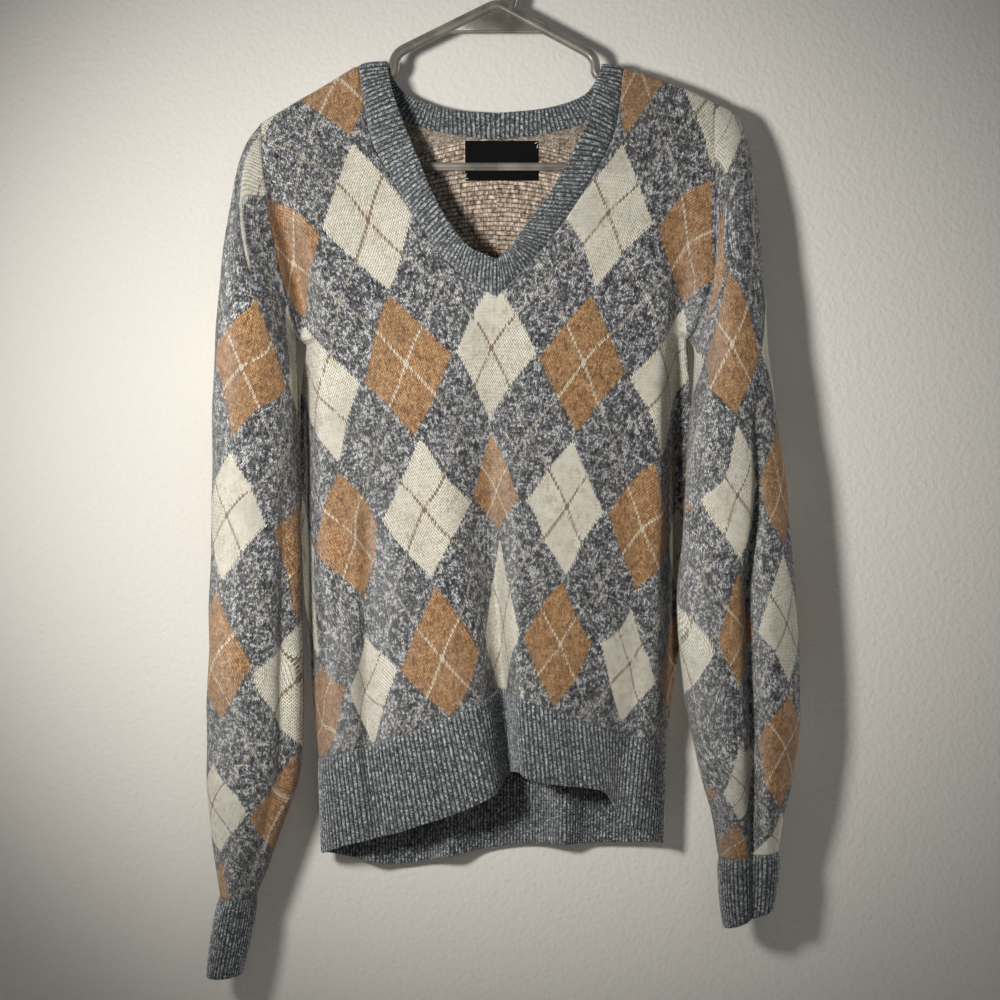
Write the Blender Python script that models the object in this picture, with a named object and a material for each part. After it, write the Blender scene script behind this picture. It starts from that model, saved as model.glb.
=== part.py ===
"""V-neck argyle sweater hanging on a one-piece plastic hanger.

Frame: millimetres in the tables, metres in the meshes. +Z is up, the front faces -Y, and +X is at the right of a
viewer who looks at the front, so the wearer's right sleeve is at -X. The origin is the inside of the hook's crown,
where a rail carries the hanger.

Each knitted piece is an open surface with a wall added to its inside. Neighbours share the points of their seam, and
each is then drawn back by half of SEAM_GAP. Rows of a body panel run from the hem rib (row 0) over the underarm
(row 1) to the shoulder seam (row 2).
"""
import math

import bmesh
import bpy
import numpy as np
from mathutils import Vector
from mathutils.bvhtree import BVHTree

MM = 0.001

# Walls and seams
WALL = 2.0
BAND_WALL = 2.6
SEAM_GAP = 0.36
MITRE_LIMIT = 0.62

# Ribs: 1x1, raised in the outer points only
RIB_HEIGHT = 0.55
HEM_RIBS_PER_HALF = 56
CUFF_RIBS = 48
BAND_RIBS = 190
POINTS_PER_RIB = 2
PLAIN_STEP = 4

# Rows and columns of the panels
COLUMNS = 16
SIDE_ROWS = np.linspace(0, 1, 13)
UPPER_ROWS = np.array([1, 1.1, 1.2, 1.32, 1.46, 1.6, 1.72, 1.82, 1.89, 1.94, 1.97, 2])
BACK_NECK_ROW = 1.6
SLEEVE_RINGS = 19

# Section of a body panel: y = side + (crest - side) * (1 - q ** ROUND) ** 0.5, with q = x / side x
ROUND = 2.5

# Side seam and armhole: row, then x, y, z
SIDE_LEFT = (
    (0.00, -150, 4, -692),
    (0.17, -154, 8, -659),
    (0.51, -166, 14, -510),
    (0.85, -167, 12, -402),
    (1.00, -161, -1, -347),
)
SIDE_RIGHT = (
    (0.00, 142, 4, -682),
    (0.17, 148, 8, -645),
    (0.51, 163, 14, -510),
    (0.85, 165, 12, -396),
    (1.00, 160, -1, -342),
)
ARMHOLE_FRONT_LEFT = (
    (1.00, -161, -1, -347),
    (1.08, -163.5, -14, -343),
    (1.20, -171, -27, -317),
    (1.40, -181, -32, -278),
    (1.60, -188, -28, -242),
    (1.80, -194, -19, -200),
    (1.94, -197.7, -7.6, -166),
    (1.97, -198, -5.3, -160.7),
    (2.00, -198, 0, -158.5),
)
ARMHOLE_FRONT_RIGHT = (
    (1.00, 160, -1, -342),
    (1.08, 163, -14, -338),
    (1.20, 172, -27, -314),
    (1.40, 180, -32, -280),
    (1.60, 181, -29, -236),
    (1.80, 181, -19, -188),
    (1.94, 182, -7.6, -150),
    (1.97, 183, -5.3, -144.7),
    (2.00, 183, 0, -142.5),
)
BACK_ARMHOLE_Y = ((1.00, -1), (1.08, 10), (1.20, 18), (1.40, 22), (1.60, 20), (1.80, 14), (1.94, 7.6), (1.97, 5.3), (2, 0))

# Centre line and neck edge: row, then x, z. Row 1 of the front is the point of the V.
CENTRE_FRONT = ((0.00, -632), (0.17, -592), (0.51, -459), (0.85, -356), (1.00, -308))
CENTRE_BACK = ((0.00, -686), (0.17, -640), (0.51, -512), (0.85, -392), (1.00, -338), (1.30, -256), (1.60, -175))
NECK_FRONT_LEFT = (
    (1.00, 0, -308),
    (1.14, -28.6, -290),
    (1.27, -49.3, -269),
    (1.42, -69, -240),
    (1.57, -87.5, -209),
    (1.74, -106, -172),
    (1.88, -112.5, -139),
    (1.94, -115.5, -119),
    (1.97, -116.7, -113.2),
    (2.00, -117, -111),
)
NECK_FRONT_RIGHT = (
    (1.00, 0, -308),
    (1.15, 23.1, -284),
    (1.32, 48, -255),
    (1.48, 68.7, -225),
    (1.63, 86.3, -195),
    (1.74, 97.3, -171),
    (1.88, 103, -141),
    (1.94, 105, -121),
    (1.97, 106, -115.2),
    (2.00, 106, -113),
)
NECK_BACK_LEFT = (
    (1.60, 0, -175),
    (1.70, -27, -173.5),
    (1.78, -50, -169.5),
    (1.85, -76, -161),
    (1.89, -93, -146),
    (1.92, -106, -131),
    (1.94, -114, -118.5),
    (1.97, -116.7, -113.2),
    (2.00, -117, -111),
)
NECK_BACK_RIGHT = (
    (1.60, 0, -175),
    (1.70, 30, -173),
    (1.78, 52, -168.5),
    (1.85, 74, -161),
    (1.89, 88, -148),
    (1.92, 98, -134),
    (1.94, 104, -120.5),
    (1.97, 106, -115.2),
    (2.00, 106, -113),
)

# Crest depth of each row, and how the row sags from its inner to its outer end
CREST_FRONT = (
    (0.00, -56), (0.17, -58), (0.51, -54), (0.85, -47), (1.00, -40), (1.30, -33), (1.60, -24), (1.82, -15.5),
    (1.89, -11.5), (1.94, -7.6), (1.97, -5.3), (2.00, 0),
)
CREST_BACK = (
    (0.00, 26), (0.17, 28), (0.51, 30), (0.85, 28), (1.00, 26), (1.30, 22), (1.60, 15.5), (1.78, 13.5),
    (1.85, 12), (1.92, 9.2), (1.94, 7.6), (1.97, 5.3), (2.00, 0),
)
SAG_FRONT_LEFT = ((0.00, 0.75), (0.17, 1.1), (0.51, 1.0), (0.85, 1.8), (1.00, 1.5), (2.00, 1.0))
SAG_FRONT_RIGHT = ((0.00, 1.0), (0.17, 1.2), (0.51, 1.4), (0.85, 1.8), (1.00, 1.5), (1.70, 1.1), (2.00, 1.3))
SAG_BACK_LEFT = ((0.00, 1.5), (1.00, 1.8), (1.60, 1.6), (1.80, 1.1), (1.94, 1.0), (2.00, 1.0))
SAG_BACK_RIGHT = ((0.00, 1.5), (1.00, 1.8), (1.60, 1.6), (1.80, 1.3), (1.94, 1.3), (2.00, 1.3))

# Folds: z along the fold, its x there, its depth, and its width to either side
FOLDS_FRONT = {
    "centre valley": (
        (-380, -9, 0, 26, 22),
        (-430, -8, 6, 26, 18),
        (-480, -6, 11, 25, 14),
        (-560, -2, 19, 24, 13),
        (-640, 5, 26, 22, 12),
        (-705, 11, 29, 20, 12),
    ),
    "left pleat": ((-470, -111, 0, 12, 14), (-520, -110, 4, 12, 14), (-610, -109, 8, 11, 15), (-700, -106, 10, 10, 15),
                   (-760, -95, 11, 9, 13)),
    "right pleat": ((-520, 112, 0, 14, 12), (-580, 112, 4, 14, 11), (-660, 111, 8, 14, 9), (-740, 98, 11, 13, 9)),
    "left armhole crease": ((-215, -172, 0, 7, 9), (-240, -170, 5, 6, 8), (-300, -165, 5, 6, 8), (-335, -160, 0, 6, 8)),
    "right armhole crease": ((-200, 162, 0, 9, 7), (-225, 163, 5, 8, 6), (-295, 164, 5, 8, 6), (-330, 160, 0, 8, 6)),
    "rib step": ((-660, 64, 0, 6, 10), (-700, 65, 4, 5, 9), (-730, 66, 5, 5, 9)),
}
FOLDS_BACK = {
    "valley behind the right arm": ((-340, -52, 0, 20, 22), (-440, -50, 8, 20, 22), (-580, -44, 15, 18, 20),
                                    (-700, -40, 18, 16, 18), (-780, -38, 18, 15, 17)),
    "valley behind the left arm": ((-300, 66, 0, 22, 18), (-400, 64, 7, 20, 18), (-560, 60, 14, 18, 16),
                                   (-700, 58, 17, 16, 15), (-780, 56, 17, 15, 14)),
    "short pleat": ((-520, -108, 0, 12, 14), (-620, -106, 6, 12, 14), (-780, -103, 10, 11, 13)),
}

# Hem: lower edge of the ribs. Front: x, z. The two halves meet in the centre valley.
HEM_SIDE_LEFT = (-147, 2, -771)
HEM_SIDE_RIGHT = (139, 2, -763)
HEM_CREST_FRONT = -51
HEM_CREST_BACK = 24
HEM_FRONT = (
    (-147, -771), (-127, -762), (-94, -752), (-80, -743), (-39, -722), (9, -698), (18, -700), (24, -704), (62, -711),
    (80, -713), (92, -719), (98, -731), (105, -741), (120, -751), (133, -757), (139, -763),
)
HEM_BACK = ((-147, -771), (-81, -783), (-23, -772), (28, -766), (86, -765), (139, -763))
HEM_VALLEY_X = 9

# Sleeves: station, inner line x, z, outer line x, z, the depth of both lines, the front and the back depth
SLEEVE_RIGHT = (
    (0.00, -161, -347, -198, -158.5, -1, -30, 24),
    (0.06, -164, -353, -209, -176, -7, -38, 25),
    (0.14, -164, -364, -219, -212, -15, -48, 25),
    (0.24, -161, -386, -228, -276, -24, -59, 23),
    (0.36, -158.5, -430, -234.5, -370, -30, -72, 20),
    (0.50, -157, -510, -236, -492, -32, -78, 18),
    (0.64, -156, -594, -238.5, -594, -30, -78, 19),
    (0.76, -155.5, -650, -240, -656, -30, -76, 16),
    (0.84, -161, -696, -240, -702, -30, -72, 12),
    (0.92, -179, -750, -236.5, -753, -30, -66, 4),
    (1.00, -199, -803, -229, -803, -30, -62, -2),
)
SLEEVE_LEFT = (
    (0.00, 160, -342, 183, -142.5, -1, -30, 24),
    (0.06, 164, -349, 199, -152, -7, -38, 25),
    (0.14, 164.5, -358, 212, -190, -15, -48, 25),
    (0.24, 163, -380, 219, -262, -24, -59, 22),
    (0.36, 158.5, -424, 226, -362, -30, -72, 19),
    (0.50, 154, -500, 241, -482, -32, -81, 18),
    (0.64, 149, -565, 248.5, -575, -30, -83, 20),
    (0.76, 154, -630, 251, -650, -30, -82, 16),
    (0.84, 166, -690, 245, -704, -30, -77, 12),
    (0.92, 178, -738, 236, -742, -30, -70, 4),
    (1.00, 184, -771, 233, -765, -30, -64, -2),
)
# Sleeve folds: station, angle round the ring in degrees (0 inner, 90 front, 180 outer, 270 back), depth, width
SLEEVE_FOLDS_RIGHT = {
    "inner valley": ((0.36, 40, 0, 14), (0.50, 42, 5, 14), (0.72, 44, 8, 14), (0.90, 50, 5, 16), (1.00, 55, 2, 18)),
    "underarm crease": ((0.06, 40, 0, 16), (0.14, 42, 5, 14), (0.24, 62, 4, 14), (0.36, 80, 0, 14)),
    "back valley": ((0.30, 262, 0, 20), (0.50, 266, 10, 20), (0.80, 272, 13, 20), (1.00, 276, 6, 22)),
}
SLEEVE_FOLDS_LEFT = {
    "front valley": ((0.36, 128, 0, 12), (0.46, 120, 8, 12), (0.60, 102, 14, 12), (0.78, 98, 16, 14), (1.00, 96, 9, 20)),
    "underarm crease": ((0.06, 40, 0, 16), (0.14, 42, 5, 14), (0.24, 62, 4, 14), (0.36, 80, 0, 14)),
    "back valley": ((0.32, 258, 0, 22), (0.55, 262, 9, 22), (0.80, 268, 12, 22), (1.00, 270, 8, 24)),
}
# Cuff bottoms: inner x, z, outer x, z, line, front and back depth
CUFF_RIGHT_END = (-211, -866, -239, -868, -32, -61, -4)
CUFF_LEFT_END = (188, -828, 228, -812, -32, -62, -4)

# Neckband: its free edge, knot for knot with the neck edges above: x, y, z
BAND_FRONT_LEFT = (
    (0, -43, -279), (-22, -42, -269.5), (-35.5, -40, -255), (-53.5, -36, -225), (-65.5, -31, -196),
    (-79, -24, -163), (-90, -15, -130), (-92.5, -8.6, -116), (-93.2, -6, -110.5), (-93.2, 0, -108),
)
BAND_FRONT_RIGHT = (
    (0, -43, -279), (11.6, -42, -269.5), (23, -40, -252), (44, -36, -224), (60.5, -31, -195),
    (76, -24, -162), (82.5, -15, -132), (87, -8.6, -118.5), (89, -6, -113), (89, 0, -110.5),
)
BAND_BACK_LEFT = (
    (0, 16.5, -155), (-29, 15.8, -153.4), (-48, 15, -150), (-66, 13.5, -143.5), (-78, 12, -136),
    (-86, 11, -126), (-91, 9.2, -116), (-93.2, 6, -110.5), (-93.2, 0, -108),
)
BAND_BACK_RIGHT = (
    (0, 16.5, -155), (30, 15.8, -152.6), (47, 15, -149.5), (64, 13.5, -144), (75, 12, -137.5),
    (82, 11, -128), (86.5, 9.2, -118.5), (89, 6, -113), (89, 0, -110.5),
)

# Label on the inside of the back
LABEL_LEFT = -27.0
LABEL_RIGHT = 35.0
LABEL_TOP = -179.0
LABEL_BOTTOM = -212.0
LABEL_THICKNESS = 0.7
LABEL_GAP = 0.35

# Hanger
HANGER_RADIUS = 4.4
BAR_RADIUS = 3.4
HANGER_SIDES = 8
BEND_STEPS = 4
HANGER_LOOP = (
    # x, z, bend radius
    (0, -59, 6),
    (-86, -101.5, 10),
    (-86.5, -119, 7),
    (-118, -122.5, 12),
    (-190, -165.5, 12),
    (-186, -196, 10),
    (0, -196, 0),
    (182, -196, 10),
    (188, -154.5, 12),
    (116, -122, 12),
    (82.5, -120, 7),
    (82, -103, 10),
)
HOOK_INNER_RADIUS = 20.0
HOOK_RADIUS = 3.6
STEM_FOOT = (11.0, -66.0)
STEM_TOP = (15.0, -50.0)
HOOK_TIP_ANGLE = 205.0
HOOK_STEPS = 16
WEB_THICKNESS = 2.6
WEB_OUTLINE = ((-46, -82), (40, -82), (13, -66), (14.5, -50), (9, -50), (0, -58))

# Colours: base colour, roughness
MATERIALS = {
    "marl_jersey": ((0.27, 0.28, 0.31), 0.95),
    "marl_rib": ((0.17, 0.20, 0.24), 0.95),
    "label_weave": ((0.012, 0.012, 0.014), 0.7),
    "smoke_plastic": ((0.20, 0.20, 0.19), 0.3),
}


def follow(table, at):
    """Reads a smooth curve through the rows (knot, values...) of a table, with no overshoot between knots."""
    table = np.asarray(table, float)
    knots = table[:, 0]
    values = table[:, 1:]
    at = np.atleast_1d(np.asarray(at, float))
    step = np.diff(knots)[:, None]
    slope = np.diff(values, axis=0) / step
    tangent = np.zeros_like(values)
    tangent[0] = slope[0]
    tangent[-1] = slope[-1]
    same_way = slope[:-1] * slope[1:] > 0
    before = 2 * step[1:] + step[:-1]
    after = step[1:] + 2 * step[:-1]
    safe_before = np.where(same_way, slope[:-1], 1)
    safe_after = np.where(same_way, slope[1:], 1)
    mean = (before + after) / (before / safe_before + after / safe_after)
    tangent[1:-1] = np.where(same_way, mean, 0)
    place = np.clip(np.searchsorted(knots, at, side="right") - 1, 0, len(knots) - 2)
    span = step[place]
    t = np.clip((at - knots[place])[:, None] / span, 0, 1)
    start = values[place] * (1 + 2 * t) * (1 - t) ** 2 + tangent[place] * span * t * (1 - t) ** 2
    end = values[place + 1] * t * t * (3 - 2 * t) + tangent[place + 1] * span * t * t * (t - 1)
    return start + end


def spread(points, fractions):
    """Reads a polyline at fractions of its length."""
    length = np.concatenate([[0], np.cumsum(np.linalg.norm(np.diff(points, axis=0), axis=1))])
    at = np.asarray(fractions) * length[-1]
    return np.stack([np.interp(at, length, points[:, k]) for k in range(points.shape[1])], axis=1)


def fold_depth(folds, x, z):
    """Depth of all the folds of a panel at x, z."""
    total = np.zeros_like(x)
    for rows in folds.values():
        table = np.asarray(rows, float)[::-1]
        top = table[-1, 0]
        centre, depth, left, right = follow(table, z).T
        width = np.where(x < centre, left, right)
        total += np.where(z < top, depth, 0) * np.exp(-np.abs((x - centre) / width) ** 1.8)
    return total


def panel_row(side_point, inner_x, inner_z, crest, sag, folds, facing, columns):
    """One half row of a body panel, from its inner end to its side or armhole."""
    side_x, side_y, side_z = side_point
    t = 1 - (1 - np.linspace(0, 1, 240)) ** 2
    x = inner_x + (side_x - inner_x) * t
    z = inner_z + (side_z - inner_z) * t ** sag
    q = np.clip(np.abs(x / side_x), 0, 1)
    y = side_y + (crest - side_y) * np.sqrt(1 - q ** ROUND)
    y -= facing * fold_depth(folds, x, z) * np.sqrt(1 - q ** 8)
    return spread(np.stack([x, y, z], axis=1), np.linspace(0, 1, columns + 1))


def side_edge(row, side, front):
    """Point of a panel's outer edge: the side seam below the underarm, the armhole above it."""
    seam = SIDE_LEFT if side < 0 else SIDE_RIGHT
    armhole = ARMHOLE_FRONT_LEFT if side < 0 else ARMHOLE_FRONT_RIGHT
    if row <= 1:
        return follow(seam, row)[0]
    point = follow(armhole, row)[0]
    if not front:
        point[1] = follow(BACK_ARMHOLE_Y, row)[0, 0]
    return point


def panel_surface(front):
    """Open surface of the front or the back: points, faces, and the rows of points along its edges."""
    columns = COLUMNS
    neck_row = 1 if front else BACK_NECK_ROW
    lower = np.concatenate([SIDE_ROWS, UPPER_ROWS[(UPPER_ROWS > 1) & (UPPER_ROWS <= neck_row)]])
    upper = UPPER_ROWS[UPPER_ROWS > neck_row]
    centre = CENTRE_FRONT if front else CENTRE_BACK
    crest = CREST_FRONT if front else CREST_BACK
    folds = FOLDS_FRONT if front else FOLDS_BACK
    facing = -1 if front else 1
    necks = {-1: NECK_FRONT_LEFT, 1: NECK_FRONT_RIGHT} if front else {-1: NECK_BACK_LEFT, 1: NECK_BACK_RIGHT}
    sags = {-1: SAG_FRONT_LEFT, 1: SAG_FRONT_RIGHT} if front else {-1: SAG_BACK_LEFT, 1: SAG_BACK_RIGHT}

    def half(row, side):
        if row <= lower[-1] + 1e-9:
            inner_x, inner_z = 0.0, follow(centre, row)[0, 0]
        else:
            inner_x, inner_z = follow(necks[side], row)[0]
        edge = side_edge(row, side, front)
        sag = follow(sags[side], row)[0, 0]
        return panel_row(edge, inner_x, inner_z, follow(crest, row)[0, 0], sag, folds, facing, columns)

    points = []
    faces = []
    grid = {}
    for row in lower:
        left = half(row, -1)
        right = half(row, 1)
        for side, line in ((-1, left), (1, right)):
            for k, point in enumerate(line):
                if k == 0 and side == 1:
                    grid[row, 1, 0] = grid[row, -1, 0]
                    continue
                grid[row, side, k] = len(points)
                points.append(point)
    for row in upper:
        for side in (-1, 1):
            for k, point in enumerate(half(row, side)):
                grid[row, side, k] = len(points)
                points.append(point)
    rows = list(lower) + list(upper)
    for low, high in zip(rows, rows[1:]):
        for side in (-1, 1):
            for k in range(columns):
                face = (grid[low, side, k], grid[low, side, k + 1], grid[high, side, k + 1], grid[high, side, k])
                faces.append(face if side * facing < 0 else face[::-1])
    neck_rows = [lower[-1]] + list(upper)
    neck_left = [grid[row, -1, 0] for row in neck_rows]
    neck_right = [grid[row, 1, 0] for row in neck_rows]
    foot = [grid[lower[0], -1, k] for k in range(columns, -1, -1)] + [grid[lower[0], 1, k] for k in range(1, columns + 1)]
    return {"points": np.array(points), "faces": faces, "neck_left": neck_left, "neck_right": neck_right, "foot": foot}


def ring_shape(values, angles):
    """Ring of a sleeve or cuff from its inner and outer line and its front and back depth."""
    inner_x, inner_z, outer_x, outer_z, line_y, front_y, back_y = values
    across = (1 - np.cos(angles)) / 2
    lift = np.sin(angles)
    depth = np.where(lift > 0, front_y - line_y, line_y - back_y) * np.sign(lift) * np.abs(lift) ** 0.9
    x = inner_x + (outer_x - inner_x) * across
    z = inner_z + (outer_z - inner_z) * across
    return np.stack([x, line_y + np.abs(depth) * np.where(lift > 0, -1, 1), z], axis=1)


def fold_ring(ring, angles, station, folds):
    """Draws a ring in towards its middle where a fold runs."""
    middle = ring.mean(axis=0)
    total = np.zeros(len(ring))
    for rows in folds.values():
        first = rows[0][0]
        angle, depth, width = follow(rows, station)[0]
        turn = (np.degrees(angles) - angle + 180) % 360 - 180
        total += (depth if station > first else 0) * np.exp(-np.abs(turn / width) ** 1.8)
    inward = middle - ring
    inward /= np.linalg.norm(inward, axis=1)[:, None]
    return ring + inward * total[:, None]


def armhole_ring(side):
    """Armhole, from the underarm up the front to the shoulder tip and down the back."""
    front = [side_edge(row, side, True) for row in UPPER_ROWS]
    back = [side_edge(row, side, False) for row in UPPER_ROWS[-2:0:-1]]
    return np.array(front + back)


def sleeve_ring(station, side, angles):
    """Ring of a sleeve at a station from 0, its armhole, to 1, its cuff."""
    table = SLEEVE_RIGHT if side < 0 else SLEEVE_LEFT
    folds = SLEEVE_FOLDS_RIGHT if side < 0 else SLEEVE_FOLDS_LEFT
    ring = ring_shape(follow(table, station)[0], angles)
    return fold_ring(ring, angles, station, folds)


def sleeve_surface(side):
    """Open tube of a sleeve, whose first ring is the armhole."""
    armhole = armhole_ring(side)
    count = len(armhole)
    closed = np.vstack([armhole, armhole[:1]])
    length = np.concatenate([[0], np.cumsum(np.linalg.norm(np.diff(closed, axis=0), axis=1))])
    tip = len(UPPER_ROWS) - 1
    walked = np.where(np.arange(count) <= tip, length[:-1] / length[tip] * math.pi,
                      math.pi + (length[:-1] - length[tip]) / (length[-1] - length[tip]) * math.pi)
    even = np.arange(count) / count * 2 * math.pi
    table = SLEEVE_RIGHT if side < 0 else SLEEVE_LEFT
    first = ring_shape(table[0][1:], walked)
    rings = [armhole]
    stations = np.arange(1, SLEEVE_RINGS + 1) / SLEEVE_RINGS
    for station in stations:
        angles = walked + (even - walked) * min(1, station / 0.4)
        keep = max(0, 1 - station / 0.3) ** 1.5
        rings.append(sleeve_ring(station, side, angles) + keep * (armhole - first))
    points = np.vstack(rings)
    faces = []
    for k in range(len(rings) - 1):
        for i in range(count):
            j = (i + 1) % count
            face = (k * count + i, k * count + j, (k + 1) * count + j, (k + 1) * count + i)
            faces.append(face if side < 0 else face[::-1])
    return {"points": points, "faces": faces, "count": count, "last": len(points) - count}


def key(point):
    return tuple(np.round(point, 3))


def own_normals(surface):
    """Unit normals of the points of an open surface."""
    points = surface["points"]
    total = np.zeros_like(points)
    for face in surface["faces"]:
        a, b, c, d = points[list(face)]
        normal = np.cross(c - a, d - b)
        normal /= max(np.linalg.norm(normal), 1e-9)
        for index in face:
            total[index] += normal
    return total / np.linalg.norm(total, axis=1)[:, None]


def share_normals(surfaces):
    """Gives the points that several surfaces share one normal and one wall offset."""
    met = {}
    for surface in surfaces:
        surface["normals"] = own_normals(surface)
        for point, normal in zip(surface["points"], surface["normals"]):
            met.setdefault(key(point), []).append(normal)
    for surface in surfaces:
        shared = np.zeros_like(surface["points"])
        inward = np.zeros_like(surface["points"])
        for index, point in enumerate(surface["points"]):
            around = np.array(met[key(point)])
            mean = around.sum(axis=0)
            mean /= np.linalg.norm(mean)
            reach = 1 / max(MITRE_LIMIT, float((around @ mean).mean()))
            shared[index] = mean
            inward[index] = -mean * WALL * reach
        surface["normals"] = shared
        surface["inward"] = inward


def draw_back(points, faces, normals):
    """Moves the open edges of a surface in by half the seam gap, each along its own surface."""
    count = {}
    for face in faces:
        for a, b in zip(face, face[1:] + face[:1]):
            count[a, b] = True
    ways = {}
    for a, b in count:
        if (b, a) in count:
            continue
        along = points[b] - points[a]
        for index in (a, b):
            way = np.cross(normals[index], along)
            ways.setdefault(index, []).append(way / np.linalg.norm(way))
    moved = points.copy()
    for index, pair in ways.items():
        total = sum(pair)
        overlap = float(pair[0] @ pair[1]) if len(pair) == 2 else 1.0
        moved[index] += SEAM_GAP / 2 * total / max(0.5, 1 + overlap)
    return moved


def make_object(name, points, faces, material):
    """Mesh object from points in millimetres."""
    mesh = bpy.data.meshes.new(name)
    mesh.from_pydata([Vector(p) * MM for p in points], [], faces)
    bm = bmesh.new()
    bm.from_mesh(mesh)
    bmesh.ops.triangulate(bm, faces=bm.faces)
    bm.to_mesh(mesh)
    bm.free()
    mesh.shade_smooth()
    mesh.materials.append(bpy.data.materials[material])
    result = bpy.data.objects.new(name, mesh)
    bpy.context.scene.collection.objects.link(result)
    return result


def make_panel(name, surface, material):
    """Solid of a panel or sleeve: the surface, the same surface one wall inside, and rims along its open edges."""
    points = draw_back(surface["points"], surface["faces"], surface["normals"])
    size = len(points)
    faces = [tuple(face) for face in surface["faces"]]
    edges = {(a, b) for face in faces for a, b in zip(face, face[1:] + face[:1])}
    solid = list(faces)
    solid += [tuple(index + size for index in face[::-1]) for face in faces]
    solid += [(b, a, a + size, b + size) for a, b in edges if (b, a) not in edges]
    return make_object(name, np.vstack([points, points + surface["inward"]]), solid, material)


def make_ribbed(name, rows, normals, wall, closed, outward, material):
    """Solid of a rib: rows of points across it, fine and raised outside, plain and coarser inside."""
    rows = np.array(rows)
    normals = np.array(normals)
    count, columns = rows.shape[:2]
    raised = (np.arange(columns) % POINTS_PER_RIB == 0) * RIB_HEIGHT
    if not closed:
        raised[0] = 0
        raised[-1] = 0
    outside = rows + normals * raised[None, :, None]
    plain = list(range(0, columns, PLAIN_STEP))
    inside = rows[:, plain] - normals[:, plain] * wall
    inner_columns = len(plain)
    points = np.vstack([outside.reshape(-1, 3), inside.reshape(-1, 3)])
    base = count * columns
    faces = []

    def add(*face):
        faces.append(face if outward else face[::-1])

    spans = columns if closed else columns - 1
    for r in range(count - 1):
        for i in range(spans):
            j = (i + 1) % columns
            add(r * columns + i, r * columns + j, (r + 1) * columns + j, (r + 1) * columns + i)
    inner_spans = inner_columns if closed else inner_columns - 1
    for r in range(count - 1):
        for i in range(inner_spans):
            j = (i + 1) % inner_columns
            low = base + r * inner_columns
            high = low + inner_columns
            add(low + j, low + i, high + i, high + j)
    for r, flip in ((0, False), (count - 1, True)):
        for i in range(inner_spans):
            j = (i + 1) % inner_columns
            fine = [(r * columns + (PLAIN_STEP * i + step) % columns) for step in range(PLAIN_STEP + 1)]
            near = base + r * inner_columns + i
            far = base + r * inner_columns + j
            half = PLAIN_STEP // 2
            fans = [(fine[k + 1], fine[k], near if k < half else far) for k in range(PLAIN_STEP)]
            fans.append((fine[half], near, far))
            for fan in fans:
                add(*(fan[::-1] if flip else fan))
    if not closed:
        for end, inner_end, flip in ((0, 0, False), (columns - 1, inner_columns - 1, True)):
            for r in range(count - 1):
                face = (r * columns + end, (r + 1) * columns + end,
                        base + (r + 1) * inner_columns + inner_end, base + r * inner_columns + inner_end)
                add(*(face[::-1] if flip else face))
    return make_object(name, points, faces, material)


def grid_normals(rows, closed, outward):
    """Unit normals of rows of points."""
    rows = np.array(rows)
    if closed:
        along = np.roll(rows, -1, axis=1) - np.roll(rows, 1, axis=1)
    else:
        along = np.gradient(rows, axis=1)
    across = np.gradient(rows, axis=0)
    normals = np.cross(along, across) * (1 if outward else -1)
    return normals / np.linalg.norm(normals, axis=2)[:, :, None]


def seam_way(rows, normals):
    """Unit direction that leads from the first row into a rib, square to its seam and in its surface."""
    way = np.cross(normals[0], np.gradient(rows[0], axis=0))
    way *= np.sign(np.sum(way * (rows[1] - rows[0]), axis=1))[:, None]
    return way / np.linalg.norm(way, axis=1)[:, None]


def hem_half(side, front):
    """Lower edge of one half of a hem rib, from the centre to the side."""
    side_x, side_y, side_z = HEM_SIDE_LEFT if side < 0 else HEM_SIDE_RIGHT
    start = HEM_VALLEY_X if front else 0.0
    t = 1 - (1 - np.linspace(0, 1, 240)) ** 2
    x = start + (side_x - start) * t
    z = follow(HEM_FRONT if front else HEM_BACK, x)[:, 0]
    q = np.clip(np.abs(x / side_x), 0, 1)
    crest = HEM_CREST_FRONT if front else HEM_CREST_BACK
    facing = -1 if front else 1
    y = side_y + (crest - side_y) * np.sqrt(1 - q ** ROUND)
    y -= facing * fold_depth(FOLDS_FRONT if front else FOLDS_BACK, x, z) * np.sqrt(1 - q ** 8)
    return spread(np.stack([x, y, z], axis=1), np.linspace(0, 1, HEM_RIBS_PER_HALF * POINTS_PER_RIB + 1))


def make_hem_rib(name, panel, front):
    """Hem rib under a panel, with its top on the panel's lowest row."""
    foot = panel["points"][panel["foot"]]
    foot_normals = panel["normals"][panel["foot"]]
    middle = len(foot) // 2
    fine = np.linspace(0, 1, HEM_RIBS_PER_HALF * POINTS_PER_RIB + 1)

    def both(values):
        left = spread_like(foot[:middle + 1], values[:middle + 1], fine)
        right = spread_like(foot[middle:], values[middle:], fine)
        return np.vstack([left, right[1:]])

    top = both(foot)
    top_normals = both(foot_normals)
    bottom = np.vstack([hem_half(-1, front)[::-1], hem_half(1, front)[1:]])
    rows = [top, (top + bottom) / 2, bottom]
    normals = grid_normals(rows, False, not front)
    normals[0] = top_normals / np.linalg.norm(top_normals, axis=1)[:, None]
    side_way = np.array([1.0, 0, 0])
    for r in range(3):
        normals[r, 0] = -side_way
        normals[r, -1] = side_way
    rows = np.array(rows)
    rows[0] += SEAM_GAP / 2 * seam_way(rows, normals)
    facing = -1 if front else 1
    rows[:, 0, 1] += facing * SEAM_GAP / 2
    rows[:, -1, 1] += facing * SEAM_GAP / 2
    return make_ribbed(name, rows, normals, WALL, False, not front, "marl_rib")


def spread_like(points, values, fractions):
    """Reads values given at the points of a polyline at fractions of its length."""
    length = np.concatenate([[0], np.cumsum(np.linalg.norm(np.diff(points, axis=0), axis=1))])
    at = np.asarray(fractions) * length[-1]
    return np.stack([np.interp(at, length, values[:, k]) for k in range(values.shape[1])], axis=1)


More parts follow.
